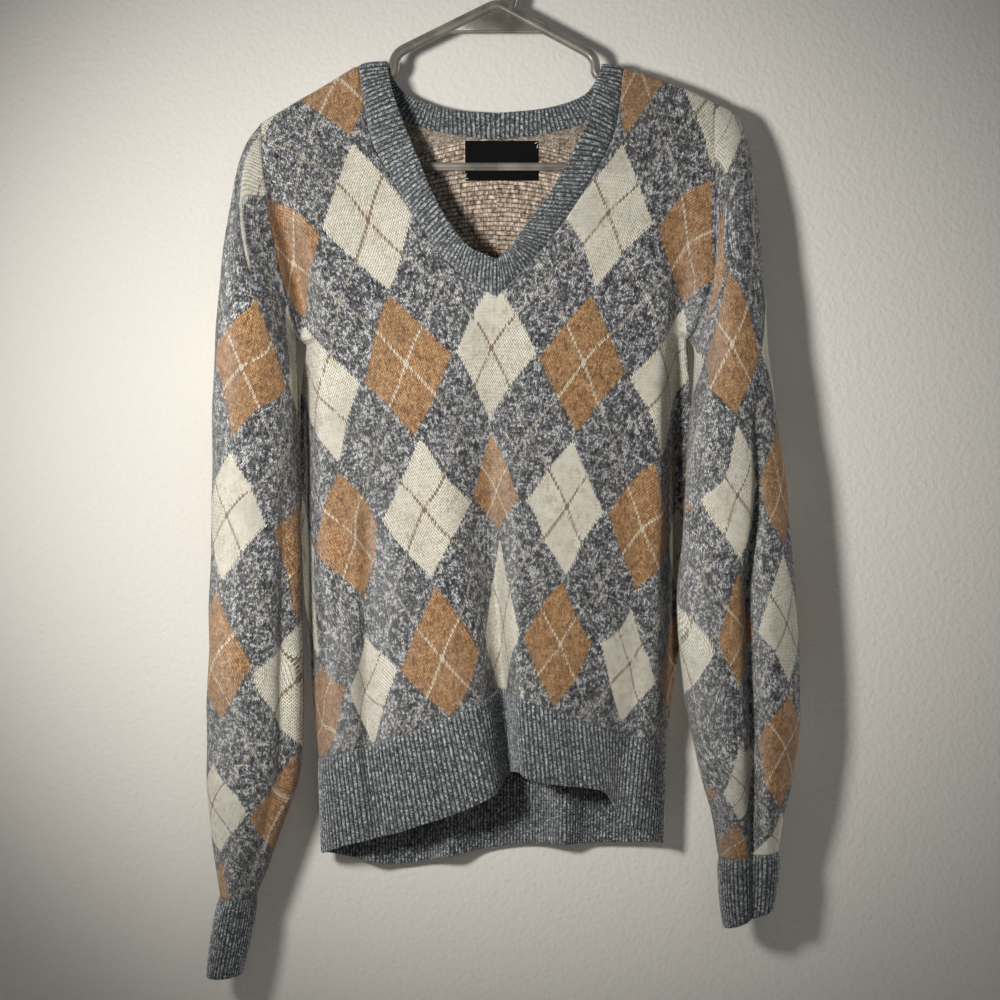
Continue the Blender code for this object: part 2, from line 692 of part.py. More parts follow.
def make_cuff(name, sleeve, side):
    """Cuff rib under a sleeve, with its top on the sleeve's last ring."""
    count = sleeve["count"]
    last = sleeve["last"]
    ring = sleeve["points"][last:last + count]
    ring_normals = sleeve["normals"][last:last + count]
    closed = np.vstack([ring, ring[:1]])
    closed_normals = np.vstack([ring_normals, ring_normals[:1]])
    columns = CUFF_RIBS * POINTS_PER_RIB
    fine = np.arange(columns) / columns
    top = spread_like(closed, closed, fine)
    top_normals = spread_like(closed, closed_normals, fine)
    angles = np.linspace(0, 2 * math.pi, 241)
    folds = SLEEVE_FOLDS_RIGHT if side < 0 else SLEEVE_FOLDS_LEFT
    end = fold_ring(ring_shape(CUFF_RIGHT_END if side < 0 else CUFF_LEFT_END, angles), angles, 1.0, folds)
    bottom = spread(end, fine)
    rows = np.array([top, (top + bottom) / 2, bottom])
    normals = grid_normals(rows, True, side < 0)
    normals[0] = top_normals / np.linalg.norm(top_normals, axis=1)[:, None]
    rows[0] += SEAM_GAP / 2 * seam_way(rows, normals)
    return make_ribbed(name, rows, normals, WALL, True, side < 0, "marl_rib")


def make_neckband(front, back):
    """Neckband from the point of the V over the left shoulder, round the back neck and back to the V."""
    edges = (
        (front, front["neck_left"], NECK_FRONT_LEFT, BAND_FRONT_LEFT, False),
        (back, back["neck_left"], NECK_BACK_LEFT, BAND_BACK_LEFT, True),
        (back, back["neck_right"], NECK_BACK_RIGHT, BAND_BACK_RIGHT, False),
        (front, front["neck_right"], NECK_FRONT_RIGHT, BAND_FRONT_RIGHT, True),
    )
    seam, seam_normals, free = [], [], []
    for panel, indices, knots, band, backwards in edges:
        points = panel["points"][indices]
        normals = panel["normals"][indices]
        table = np.hstack([np.array(knots)[:, :1], np.array(band)])
        rows = UPPER_ROWS[UPPER_ROWS >= knots[0][0] - 1e-9]
        edge = follow(table, rows)
        if backwards:
            points, normals, edge = points[::-1], normals[::-1], edge[::-1]
        seam.append(points[:-1])
        seam_normals.append(normals[:-1])
        free.append(edge[:-1])
    seam = np.vstack(seam)
    seam_normals = np.vstack(seam_normals)
    free = np.vstack(free)
    closed = np.vstack([seam, seam[:1]])
    columns = BAND_RIBS * POINTS_PER_RIB
    fine = np.arange(columns) / columns
    low = spread_like(closed, closed, fine)
    normals = spread_like(closed, np.vstack([seam_normals, seam_normals[:1]]), fine)
    normals /= np.linalg.norm(normals, axis=1)[:, None]
    high = spread_like(closed, np.vstack([free, free[:1]]), fine)
    rows = np.array([low, high])
    free_normals = grid_normals(rows, True, False)[1]
    all_normals = np.array([normals, free_normals])
    rows[0] += SEAM_GAP / 2 * seam_way(rows, all_normals)
    return make_ribbed("neckband", rows, all_normals, BAND_WALL, True, False, "marl_rib")


def make_label(back):
    """Label that lies on the inside of the back, just under the neckband's seam."""
    tree = BVHTree.FromPolygons([Vector(v.co) for v in back.data.vertices],
                                [tuple(p.vertices) for p in back.data.polygons])
    xs = np.linspace(LABEL_LEFT, LABEL_RIGHT, 8)
    zs = np.linspace(LABEL_BOTTOM, LABEL_TOP, 4)
    near, far = [], []
    for z in zs:
        for x in xs:
            hit = tree.ray_cast(Vector((x * MM, 0, z * MM)), Vector((0, 1, 0)))[0]
            far.append((x, hit.y / MM - LABEL_GAP, z))
            near.append((x, hit.y / MM - LABEL_GAP - LABEL_THICKNESS, z))
    across = len(xs)
    size = len(near)
    grid = []
    for r in range(len(zs) - 1):
        for i in range(across - 1):
            grid.append((r * across + i, r * across + i + 1, (r + 1) * across + i + 1, (r + 1) * across + i))
    edges = {(a, b) for face in grid for a, b in zip(face, face[1:] + face[:1])}
    faces = list(grid)
    faces += [tuple(index + size for index in face[::-1]) for face in grid]
    faces += [(b, a, a + size, b + size) for a, b in edges if (b, a) not in edges]
    return make_object("label", np.vstack([near, far]), faces, "label_weave")


def bend(corners):
    """Closed path in the x-z plane with each corner rounded to its own radius."""
    path = []
    count = len(corners)
    for i, (x, z, radius) in enumerate(corners):
        corner = np.array([x, z], float)
        before = np.array(corners[i - 1][:2], float) - corner
        after = np.array(corners[(i + 1) % count][:2], float) - corner
        before_way = before / np.linalg.norm(before)
        after_way = after / np.linalg.norm(after)
        if radius == 0:
            path.append(corner)
            continue
        start = corner + before_way * min(radius, np.linalg.norm(before) / 2.2)
        end = corner + after_way * min(radius, np.linalg.norm(after) / 2.2)
        for t in np.linspace(0, 1, BEND_STEPS):
            path.append((1 - t) ** 2 * start + 2 * t * (1 - t) * corner + t * t * end)
    return np.array(path)


def tube(path, radii, closed):
    """Points and faces of a round tube along a path in the x-z plane."""
    path = np.asarray(path)
    count = len(path)
    if closed:
        along = np.roll(path, -1, axis=0) - np.roll(path, 1, axis=0)
    else:
        along = np.gradient(path, axis=0)
    along /= np.linalg.norm(along, axis=1)[:, None]
    across = np.stack([along[:, 1], -along[:, 0]], axis=1)
    points = []
    for place, way, radius in zip(path, across, radii):
        for k in range(HANGER_SIDES):
            angle = 2 * math.pi * (k + 0.5) / HANGER_SIDES
            shift = way * radius * math.cos(angle)
            points.append((place[0] + shift[0], radius * math.sin(angle), place[1] + shift[1]))
    faces = []
    for i in range(count if closed else count - 1):
        j = (i + 1) % count
        for k in range(HANGER_SIDES):
            n = (k + 1) % HANGER_SIDES
            faces.append((i * HANGER_SIDES + k, i * HANGER_SIDES + n, j * HANGER_SIDES + n, j * HANGER_SIDES + k))
    if not closed:
        faces.append(tuple(range(HANGER_SIDES))[::-1])
        faces.append(tuple((count - 1) * HANGER_SIDES + k for k in range(HANGER_SIDES)))
    return np.array(points), faces


def plate(outline, thickness):
    """Points and faces of a flat plate in the x-z plane."""
    count = len(outline)
    points = [(x, -thickness / 2, z) for x, z in outline] + [(x, thickness / 2, z) for x, z in outline]
    faces = [tuple(range(count)), tuple(range(2 * count - 1, count - 1, -1))]
    faces += [((i + 1) % count, i, i + count, (i + 1) % count + count) for i in range(count)]
    return np.array(points), faces


def turned_out(target):
    """Makes the faces of an object point out."""
    bm = bmesh.new()
    bm.from_mesh(target.data)
    bmesh.ops.recalc_face_normals(bm, faces=bm.faces)
    bm.to_mesh(target.data)
    bm.free()


def make_hanger():
    """Hanger moulded in one: loop, web under its apex and hook."""
    loop = bend(HANGER_LOOP)
    bar = np.abs(loop[:, 1] - HANGER_LOOP[6][1]) < 3
    radii = np.where(bar, BAR_RADIUS, HANGER_RADIUS)
    hanger = make_object("hanger", *tube(loop, radii, True), "smoke_plastic")
    centre_line = HOOK_INNER_RADIUS + HOOK_RADIUS
    turns = np.radians(np.linspace(0, HOOK_TIP_ANGLE, HOOK_STEPS))
    arc = [(centre_line * math.cos(a), -HOOK_INNER_RADIUS + centre_line * math.sin(a)) for a in turns]
    rise = (centre_line - 0.4, arc[0][1] - 10)
    path = [STEM_FOOT, STEM_TOP, (19.8, -40.0), rise] + arc
    hook_radii = [HOOK_RADIUS] * (len(path) - 1) + [HOOK_RADIUS * 0.6]
    added = (
        make_object("hook_cutter", *tube(path, hook_radii, False), "smoke_plastic"),
        make_object("web_cutter", *plate(WEB_OUTLINE, WEB_THICKNESS), "smoke_plastic"),
    )
    turned_out(hanger)
    for piece in added:
        turned_out(piece)
        union = hanger.modifiers.new(piece.name, "BOOLEAN")
        union.operation = "UNION"
        union.object = piece
        piece.hide_render = True
        piece.hide_viewport = False
        piece.display_type = "WIRE"
    return hanger


def make_materials():
    for name, (colour, roughness) in MATERIALS.items():
        material = bpy.data.materials.new(name)
        material.use_nodes = True
        shader = material.node_tree.nodes["Principled BSDF"]
        shader.inputs["Base Color"].default_value = (*colour, 1)
        shader.inputs["Roughness"].default_value = roughness
        shader.inputs["Metallic"].default_value = 0.0


def main():
    for old in list(bpy.data.objects):
        bpy.data.objects.remove(old)
    make_materials()
    front = panel_surface(True)
    back = panel_surface(False)
    right = sleeve_surface(-1)
    left = sleeve_surface(1)
    share_normals([front, back, right, left])
    make_panel("front", front, "marl_jersey")
    back_panel = make_panel("back", back, "marl_jersey")
    make_panel("sleeve_right", right, "marl_jersey")
    make_panel("sleeve_left", left, "marl_jersey")
    make_hem_rib("hem_rib_front", front, True)
    make_hem_rib("hem_rib_back", back, False)
    make_cuff("cuff_right", right, -1)
    make_cuff("cuff_left", left, 1)
    make_neckband(front, back)
    make_label(back_panel)
    make_hanger()


main()
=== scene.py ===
import math

import bpy
import numpy as np
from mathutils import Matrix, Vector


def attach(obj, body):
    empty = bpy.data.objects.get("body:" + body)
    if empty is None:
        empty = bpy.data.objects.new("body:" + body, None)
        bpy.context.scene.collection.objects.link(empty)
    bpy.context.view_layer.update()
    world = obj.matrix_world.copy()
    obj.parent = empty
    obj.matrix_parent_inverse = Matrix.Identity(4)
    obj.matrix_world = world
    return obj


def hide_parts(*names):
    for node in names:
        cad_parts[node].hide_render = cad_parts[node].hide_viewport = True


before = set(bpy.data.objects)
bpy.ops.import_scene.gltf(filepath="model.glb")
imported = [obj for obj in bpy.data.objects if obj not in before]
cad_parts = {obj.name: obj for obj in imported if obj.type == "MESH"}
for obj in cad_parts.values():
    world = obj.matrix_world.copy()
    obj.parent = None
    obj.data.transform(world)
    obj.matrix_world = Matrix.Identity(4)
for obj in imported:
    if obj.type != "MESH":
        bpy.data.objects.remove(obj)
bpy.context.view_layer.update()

MM = 0.001

# Cloth wall, and the least cosine by which it is divided at a seam
WALL = 2.0
MITRE_LIMIT = 0.62
CLOSE = 1e-9

# The solids' own rows, which are divided further here
SIDE_ROWS = np.linspace(0, 1, 13)
UPPER_ROWS = np.array([1, 1.1, 1.2, 1.32, 1.46, 1.6, 1.72, 1.82, 1.89, 1.94, 1.97, 2])
BACK_NECK_ROW = 1.6
SIDE_SPLIT = 9
UPPER_SPLIT = 7
PANEL_COLUMNS = 62
SLEEVE_RINGS = 200
LINE_POINTS = 240

# Section of a body panel: y = side + (crest - side) * (1 - q ** ROUND) ** 0.5, with q = x / side x
ROUND = 2.5
# Folds: the steepness of their flanks, and how they fade out at the panel's side
FOLD_FLANK = 1.8
FOLD_FADE = 8

# Side seam and armhole: row, then x, y, z
SIDE_LEFT = (
    (0.00, -150, 4, -692), (0.17, -154, 8, -659), (0.51, -166, 14, -510), (0.85, -167, 12, -402),
    (1.00, -161, -1, -347),
)
SIDE_RIGHT = (
    (0.00, 142, 4, -682), (0.17, 148, 8, -645), (0.51, 163, 14, -510), (0.85, 165, 12, -396),
    (1.00, 160, -1, -342),
)
ARMHOLE_FRONT_LEFT = (
    (1.00, -161, -1, -347), (1.08, -163.5, -14, -343), (1.20, -171, -27, -317), (1.40, -181, -32, -278),
    (1.60, -188, -28, -242), (1.80, -194, -19, -200), (1.94, -197.7, -7.6, -166),
    (1.97, -198, -5.3, -160.7), (2.00, -198, 0, -158.5),
)
ARMHOLE_FRONT_RIGHT = (
    (1.00, 160, -1, -342), (1.08, 163, -14, -338), (1.20, 172, -27, -314), (1.40, 180, -32, -280),
    (1.60, 181, -29, -236), (1.80, 181, -19, -188), (1.94, 182, -7.6, -150), (1.97, 183, -5.3, -144.7),
    (2.00, 183, 0, -142.5),
)
BACK_ARMHOLE_Y = (
    (1.00, -1), (1.08, 10), (1.20, 18), (1.40, 22), (1.60, 20), (1.80, 14), (1.94, 7.6), (1.97, 5.3),
    (2, 0),
)

# Centre line and neck edge: row, then x, z. Row 1 of the front is the point of the V.
CENTRE_FRONT = ((0.00, -632), (0.17, -592), (0.51, -459), (0.85, -356), (1.00, -308))
CENTRE_BACK = (
    (0.00, -686), (0.17, -640), (0.51, -512), (0.85, -392), (1.00, -338), (1.30, -254), (1.60, -170),
)
NECK_FRONT_LEFT = (
    (1.00, 0, -308), (1.14, -28.6, -290), (1.27, -49.3, -269), (1.42, -69, -240), (1.57, -87.5, -209),
    (1.74, -106, -172), (1.88, -112.5, -139), (1.94, -115.5, -119), (1.97, -116.7, -113.2),
    (2.00, -117, -111),
)
NECK_FRONT_RIGHT = (
    (1.00, 0, -308), (1.15, 23.1, -284), (1.32, 48, -255), (1.48, 68.7, -225), (1.63, 86.3, -195),
    (1.74, 97.3, -171), (1.88, 103, -141), (1.94, 105, -121), (1.97, 106, -115.2), (2.00, 106, -113),
)
NECK_BACK_LEFT = (
    (1.60, 0, -170), (1.70, -27, -168.5), (1.78, -50, -164.8), (1.85, -76, -157), (1.89, -93, -143.5),
    (1.92, -106, -130), (1.94, -114, -118.5), (1.97, -116.7, -113.2), (2.00, -117, -111),
)
NECK_BACK_RIGHT = (
    (1.60, 0, -170), (1.70, 30, -168), (1.78, 52, -164), (1.85, 74, -157), (1.89, 88, -145.5),
    (1.92, 98, -133), (1.94, 104, -120.5), (1.97, 106, -115.2), (2.00, 106, -113),
)

# Crest depth of each row, and how the row sags from its inner to its outer end
CREST_FRONT = (
    (0.00, -56), (0.17, -58), (0.51, -54), (0.85, -47), (1.00, -40), (1.30, -33), (1.60, -24),
    (1.82, -15.5), (1.89, -11.5), (1.94, -7.6), (1.97, -5.3), (2.00, 0),
)
CREST_BACK = (
    (0.00, 26), (0.17, 28), (0.51, 30), (0.85, 28), (1.00, 26), (1.30, 22), (1.60, 15.5), (1.78, 13.5),
    (1.85, 12), (1.92, 9.2), (1.94, 7.6), (1.97, 5.3), (2.00, 0),
)
SAG_FRONT_LEFT = ((0.00, 0.75), (0.17, 1.1), (0.51, 1.0), (0.85, 1.8), (1.00, 1.5), (2.00, 1.0))
SAG_FRONT_RIGHT = (
    (0.00, 1.0), (0.17, 1.2), (0.51, 1.4), (0.85, 1.8), (1.00, 1.5), (1.70, 1.1), (2.00, 1.3),
)
SAG_BACK_LEFT = ((0.00, 1.5), (1.00, 1.8), (1.60, 1.6), (1.80, 1.1), (1.94, 1.0), (2.00, 1.0))
SAG_BACK_RIGHT = ((0.00, 1.5), (1.00, 1.8), (1.60, 1.6), (1.80, 1.3), (1.94, 1.3), (2.00, 1.3))

# Folds: z along the fold, its x there, its depth, and its width to either side
FOLDS_FRONT = {
    "centre valley": (
        (-380, -9, 0, 26, 20), (-430, -8, 9, 24, 16), (-480, -6, 17, 22, 13), (-560, -2, 28, 15, 10),
        (-640, 5, 38, 10, 8.5), (-705, 10.5, 42, 8, 7.5),
    ),
    "left pleat": (
        (-450, -108, 0, 8, 14), (-500, -107.5, 5, 5, 15), (-610, -110, 10, 4, 17), (-700, -109, 11, 4, 17),
        (-760, -98, 10, 6, 14),
    ),
    "right pleat": (
        (-520, 112, 0, 14, 12), (-580, 112, 4, 14, 11), (-660, 111, 8, 14, 9), (-740, 98, 11, 13, 9),
    ),
    "left armhole crease": (
        (-188, -194, 0, 6, 9), (-221, -188, 22, 7, 11), (-262, -178, 38, 7, 12), (-315, -164, 32, 8, 11),
        (-348, -157, 0, 9, 9),
    ),
    "right armhole crease": (
        (-225, 150, 0, 12, 16), (-262, 149, 7, 11, 18), (-300, 154, 12, 10, 14), (-335, 156, 0, 9, 12),
    ),
    "left side crease": (
        (-275, -177, 0, 14, 6), (-310, -169, 9, 12, 6), (-352, -163.5, 22, 20, 5),
        (-385, -163.5, 32, 20, 5), (-470, -163.5, 36, 20, 5), (-600, -162, 34, 20, 5),
        (-660, -159, 14, 20, 5), (-700, -156, 0, 20, 5),
    ),
    "left side bulge": (
        (-330, -146, 0, 7, 16), (-390, -147, -8, 7, 18), (-600, -146, -11, 7, 18), (-700, -143, -7, 8, 16),
        (-765, -138, -1, 8, 14),
    ),
    "right side crease": (
        (-286, 154, 0, 9, 10), (-315, 153.5, 16, 8, 12), (-360, 152, 32, 7.5, 14),
        (-450, 151.5, 38, 7.5, 16), (-600, 150, 40, 7.5, 16), (-650, 147.5, 22, 7, 16),
        (-700, 145, 0, 7, 14),
    ),
    "right side bulge": (
        (-320, 133, 0, 16, 7), (-390, 134, -8, 18, 7), (-600, 133, -12, 18, 7), (-700, 130, -8, 16, 8),
        (-758, 128, -1, 14, 8),
    ),
    "rib step": ((-660, 64, 0, 6, 10), (-700, 65, 4, 5, 9), (-730, 66, 5, 5, 9)),
}
FOLDS_BACK = {
    "valley behind the right arm": (
        (-340, -52, 0, 20, 22), (-440, -50, 8, 20, 22), (-580, -44, 15, 18, 20), (-700, -40, 18, 16, 18),
        (-780, -38, 18, 15, 17),
    ),
    "valley behind the left arm": (
        (-300, 66, 0, 22, 18), (-400, 64, 7, 20, 18), (-560, 60, 14, 18, 16), (-700, 58, 17, 16, 15),
        (-780, 56, 17, 15, 14),
    ),
    "short pleat": ((-520, -108, 0, 12, 14), (-620, -106, 6, 12, 14), (-780, -103, 10, 11, 13)),
}

# Hem: lower edge of the ribs. Front: x, z. The two halves meet in the centre valley.
HEM_RIBS_PER_HALF = 56
HEM_SIDE_LEFT = (-147, 2, -771)
HEM_SIDE_RIGHT = (139, 2, -763)
HEM_CREST_FRONT = -51
HEM_CREST_BACK = 24
HEM_FRONT = (
    (-147, -771), (-127, -762), (-94, -753), (-80, -748.5), (-60, -741.5), (-39, -734.5), (-14, -724),
    (0, -716), (9, -704), (18, -700), (24, -704), (62, -711), (80, -713), (92, -719), (98, -731),
    (105, -741), (120, -751), (133, -757), (139, -763),
)
HEM_BACK = ((-147, -771), (-81, -783), (-23, -772), (28, -766), (86, -765), (139, -763))
HEM_VALLEY_X = 9

# Rings of a sleeve: roundness, the station where their points are evenly spaced, and how the armhole's own
# shape is kept down to a station
RING_ROUND = 0.9
EVEN_STATION = 0.4
ARMHOLE_STATION = 0.3
ARMHOLE_FADE = 1.5
# Sleeves: station, inner line x, z, outer line x, z, the depth of both lines, the front and the back depth
SLEEVE_RIGHT = (
    (0.00, -161, -347, -198, -158.5, -1, -30, 24), (0.06, -164, -353, -209, -176, -7, -38, 25),
    (0.14, -164, -364, -219, -212, -15, -48, 25), (0.24, -161, -386, -228, -276, -24, -59, 23),
    (0.36, -161, -430, -234.5, -370, -30, -72, 20), (0.50, -161.5, -510, -236, -492, -32, -78, 18),
    (0.64, -161, -594, -238.5, -594, -30, -78, 19), (0.76, -160, -650, -240, -656, -30, -76, 16),
    (0.84, -162, -696, -240, -702, -30, -72, 12), (0.92, -179, -750, -236.5, -753, -30, -66, 4),
    (1.00, -199, -803, -229, -803, -30, -62, -2),
)
SLEEVE_LEFT = (
    (0.00, 160, -342, 183, -142.5, -1, -30, 24), (0.06, 164, -349, 199, -152, -7, -38, 25),
    (0.14, 164.5, -358, 212, -190, -15, -48, 25), (0.24, 163, -380, 219, -262, -24, -59, 22),
    (0.36, 158.5, -424, 226, -362, -30, -72, 19), (0.50, 154, -500, 241, -482, -32, -81, 18),
    (0.64, 149, -565, 248.5, -575, -30, -83, 20), (0.76, 154, -630, 251, -650, -30, -82, 16),
    (0.84, 166, -690, 245, -704, -30, -77, 12), (0.92, 178, -738, 236, -742, -30, -70, 4),
    (1.00, 184, -771, 233, -765, -30, -64, -2),
)
# Sleeve folds: station, degrees round the ring (0 inner, 90 front, 180 outer, 270 back), depth, width
SLEEVE_FOLDS_RIGHT = {
    "inner valley": (
        (0.36, 40, 0, 14), (0.50, 42, 5, 14), (0.72, 44, 8, 14), (0.90, 50, 5, 16), (1.00, 55, 2, 18),
    ),
    "underarm crease": (
        (0.00, 2, 0, 40), (0.05, 2, 10, 40), (0.12, 4, 12, 38), (0.24, 8, 9, 34), (0.40, 18, 4, 26),
        (0.56, 28, 0, 18),
    ),
    "back valley": ((0.30, 262, 0, 20), (0.50, 266, 10, 20), (0.80, 272, 13, 20), (1.00, 276, 6, 22)),
}
SLEEVE_FOLDS_LEFT = {
    "front valley": (
        (0.34, 128, 0, 12), (0.46, 120, 12, 11), (0.60, 103, 25, 10), (0.78, 100, 27, 11),
        (1.00, 97, 15, 18),
    ),
    "underarm crease": ((0.06, 40, 0, 16), (0.14, 42, 5, 14), (0.24, 62, 4, 14), (0.36, 80, 0, 14)),
    "back valley": ((0.32, 258, 0, 22), (0.55, 262, 9, 22), (0.80, 268, 12, 22), (1.00, 270, 8, 24)),
}
# Cuff bottoms: inner x, z, outer x, z, line, front and back depth
CUFF_RIBS = 48
CUFF_RIGHT_END = (-211, -866, -239, -868, -32, -61, -4)
CUFF_LEFT_END = (188, -828, 228, -812, -32, -62, -4)

# Neckband: its free edge, knot for knot with the neck edges above: x, y, z
BAND_WALL = 2.6
BAND_RIBS = 190
BAND_FRONT_LEFT = (
    (0, -43, -279), (-22, -42, -269.5), (-35.5, -40, -255), (-53.5, -36, -225), (-65.5, -31, -196),
    (-79, -24, -163), (-90, -15, -130), (-92.5, -8.6, -116), (-93.2, -6, -110.5), (-93.2, 0, -108),
)
BAND_FRONT_RIGHT = (
    (0, -43, -279), (11.6, -42, -269.5), (23, -40, -252), (44, -36, -224), (60.5, -31, -195),
    (76, -24, -162), (82.5, -15, -132), (87, -8.6, -118.5), (89, -6, -113), (89, 0, -110.5),
)
BAND_BACK_LEFT = (
    (0, 16.5, -150), (-29, 15.8, -148.4), (-48, 15, -145.3), (-66, 13.5, -139.5), (-78, 12, -133.3),
    (-86, 11, -125), (-91, 9.2, -116), (-93.2, 6, -110.5), (-93.2, 0, -108),
)
BAND_BACK_RIGHT = (
    (0, 16.5, -150), (30, 15.8, -147.6), (47, 15, -144.9), (64, 13.5, -140), (75, 12, -134.6),
    (82, 11, -127), (86.5, 9.2, -118.5), (89, 6, -113), (89, 0, -110.5),
)


def follow(table, at):
    """Values of a table (knot, values...) at any place, by a monotone cubic through its rows."""
    table = np.asarray(table, float)
    knots, values = table[:, 0], table[:, 1:]
    at = np.atleast_1d(np.asarray(at, float))
    step = np.diff(knots)[:, None]
    slope = np.diff(values, axis=0) / step
    tangent = np.zeros_like(values)
    tangent[0], tangent[-1] = slope[0], slope[-1]
    same_way = slope[:-1] * slope[1:] > 0
    before, after = 2 * step[1:] + step[:-1], step[1:] + 2 * step[:-1]
    low, high = np.where(same_way, slope[:-1], 1), np.where(same_way, slope[1:], 1)
    tangent[1:-1] = np.where(same_way, (before + after) / (before / low + after / high), 0)
    place = np.clip(np.searchsorted(knots, at, side="right") - 1, 0, len(knots) - 2)
    span = step[place]
    t = np.clip((at - knots[place])[:, None] / span, 0, 1)
    start = values[place] * (1 + 2 * t) * (1 - t) ** 2 + tangent[place] * span * t * (1 - t) ** 2
    end = values[place + 1] * t * t * (3 - 2 * t) + tangent[place + 1] * span * t * t * (t - 1)
    return start + end


def lengths(lines):
    """Length walked along each row of lines (rows, points, 3), from 0 at its first point."""
    steps = np.linalg.norm(np.diff(lines[..., :3], axis=1), axis=2)
    return np.concatenate([np.zeros((len(lines), 1)), np.cumsum(steps, axis=1)], axis=1)


def spread(lines, shares, values=None):
    """Values, or the lines themselves, read at shares of each line's own length, all the rows at once."""
    values = lines if values is None else values
    walked = lengths(lines)
    walked /= walked[:, -1:]
    shift = 2.0 * np.arange(len(lines))[:, None]
    at = (np.asarray(shares)[None, :] + shift).ravel()
    knots = (walked + shift).ravel()
    read = [np.interp(at, knots, values[..., k].ravel()) for k in range(values.shape[2])]
    return np.stack(read, axis=1).reshape(len(lines), -1, values.shape[2])


def fold_depth(folds, x, z):
    """Depth of a panel's folds: the sum of depth * exp(-|(x - centre) / width| ** FOLD_FLANK).

    The table of a fold is read at z, and it ends at its top row.
    """
    total = np.zeros(x.size)
    flat_x, flat_z = x.ravel(), z.ravel()
    for rows in folds.values():
        table = np.asarray(rows, float)[::-1]
        centre, depth, left, right = follow(table, flat_z).T
        width = np.where(flat_x < centre, left, right)
        depth = np.where(flat_z < table[-1, 0], depth, 0)
        total += depth * np.exp(-np.abs((flat_x - centre) / width) ** FOLD_FLANK)
    return total.reshape(x.shape)


def divided(rows, parts):
    """The rows with each step divided into equal parts."""
    return np.interp(np.arange((len(rows) - 1) * parts + 1) / parts, np.arange(len(rows)), rows)


FINE_ROWS = np.concatenate([divided(SIDE_ROWS, SIDE_SPLIT), divided(UPPER_ROWS, UPPER_SPLIT)[1:]])


def side_edge(rows, side, front):
    """Outer edge of a panel: the side seam up to row 1, the armhole above it."""
    seam = follow(SIDE_LEFT if side < 0 else SIDE_RIGHT, rows)
    armhole = follow(ARMHOLE_FRONT_LEFT if side < 0 else ARMHOLE_FRONT_RIGHT, rows)
    if not front:
        armhole[:, 1] = follow(BACK_ARMHOLE_Y, rows)[:, 0]
    return np.where(rows[:, None] <= 1, seam, armhole)


def panel_depth(x, z, edge_x, edge_y, crest, front):
    """y of a body panel at x and z, from its section between the side and the crest, less the folds."""
    q = np.clip(np.abs(x / edge_x), 0, 1)
    inward = 1 if front else -1
    folds = fold_depth(FOLDS_FRONT if front else FOLDS_BACK, x, z) * np.sqrt(1 - q ** FOLD_FADE)
    return edge_y + (crest - edge_y) * np.sqrt(1 - q ** ROUND) + inward * folds


def half_panel(side, front):
    """One half of a body panel, rows by columns from its inner to its outer edge, and each row's length.

    Along a row t runs from 0 to 1: x = inner + (outer - inner) t, and z = inner + (outer - inner) t ** sag.
    Its points are then spaced by length.
    """
    rows = FINE_ROWS
    neck_row = 1 if front else BACK_NECK_ROW
    centre = follow(CENTRE_FRONT if front else CENTRE_BACK, rows)[:, 0]
    necks = (NECK_FRONT_LEFT, NECK_FRONT_RIGHT) if front else (NECK_BACK_LEFT, NECK_BACK_RIGHT)
    sags = (SAG_FRONT_LEFT, SAG_FRONT_RIGHT) if front else (SAG_BACK_LEFT, SAG_BACK_RIGHT)
    neck = follow(necks[side > 0], rows)
    below = rows <= neck_row + CLOSE
    inner_x = np.where(below, 0, neck[:, 0])[:, None]
    inner_z = np.where(below, centre, neck[:, 1])[:, None]
    edge_x, edge_y, edge_z = side_edge(rows, side, front).T[:, :, None]
    crest = follow(CREST_FRONT if front else CREST_BACK, rows)
    t = 1 - (1 - np.linspace(0, 1, LINE_POINTS)[None, :]) ** 2
    x = inner_x + (edge_x - inner_x) * t
    z = inner_z + (edge_z - inner_z) * t ** follow(sags[side > 0], rows)
    lines = np.stack([x, panel_depth(x, z, edge_x, edge_y, crest, front), z], axis=2)
    return spread(lines, np.linspace(0, 1, PANEL_COLUMNS + 1)), lengths(lines)[:, -1:]


def ring_shape(values, angles):
    """Rings of a sleeve: (1 - cos a) / 2 across from the inner line, and |sin a| ** RING_ROUND in depth."""
    inner_x, inner_z, outer_x, outer_z, line_y, front_y, back_y = np.asarray(values, float).T[..., None]
    across = (1 - np.cos(angles)) / 2
    lift = np.sin(angles)
    depth = np.where(lift > 0, front_y - line_y, back_y - line_y) * np.abs(lift) ** RING_ROUND
    x = inner_x + (outer_x - inner_x) * across
    return np.stack(np.broadcast_arrays(x, line_y + depth, inner_z + (outer_z - inner_z) * across), axis=-1)


def fold_rings(rings, angles, stations, folds):
    """Rings drawn in towards their middle by the sum of depth * exp(-|turn / width| ** FOLD_FLANK)."""
    middle = rings.mean(axis=1, keepdims=True)
    total = np.zeros(angles.shape)
    for rows in folds.values():
        angle, depth, width = follow(rows, stations).T[:, :, None]
        turn = (np.degrees(angles) - angle + 180) % 360 - 180
        depth = np.where(stations[:, None] > rows[0][0], depth, 0)
        total += depth * np.exp(-np.abs(turn / width) ** FOLD_FLANK)
    inward = middle - rings
    return rings + inward / np.linalg.norm(inward, axis=2, keepdims=True) * total[..., None]


def armhole_ring(side):
    """The armhole, from the underarm up the front to the shoulder tip and down the back."""
    upper = FINE_ROWS[FINE_ROWS >= 1 - CLOSE]
    return np.vstack([side_edge(upper, side, True), side_edge(upper[-2:0:-1], side, False)])


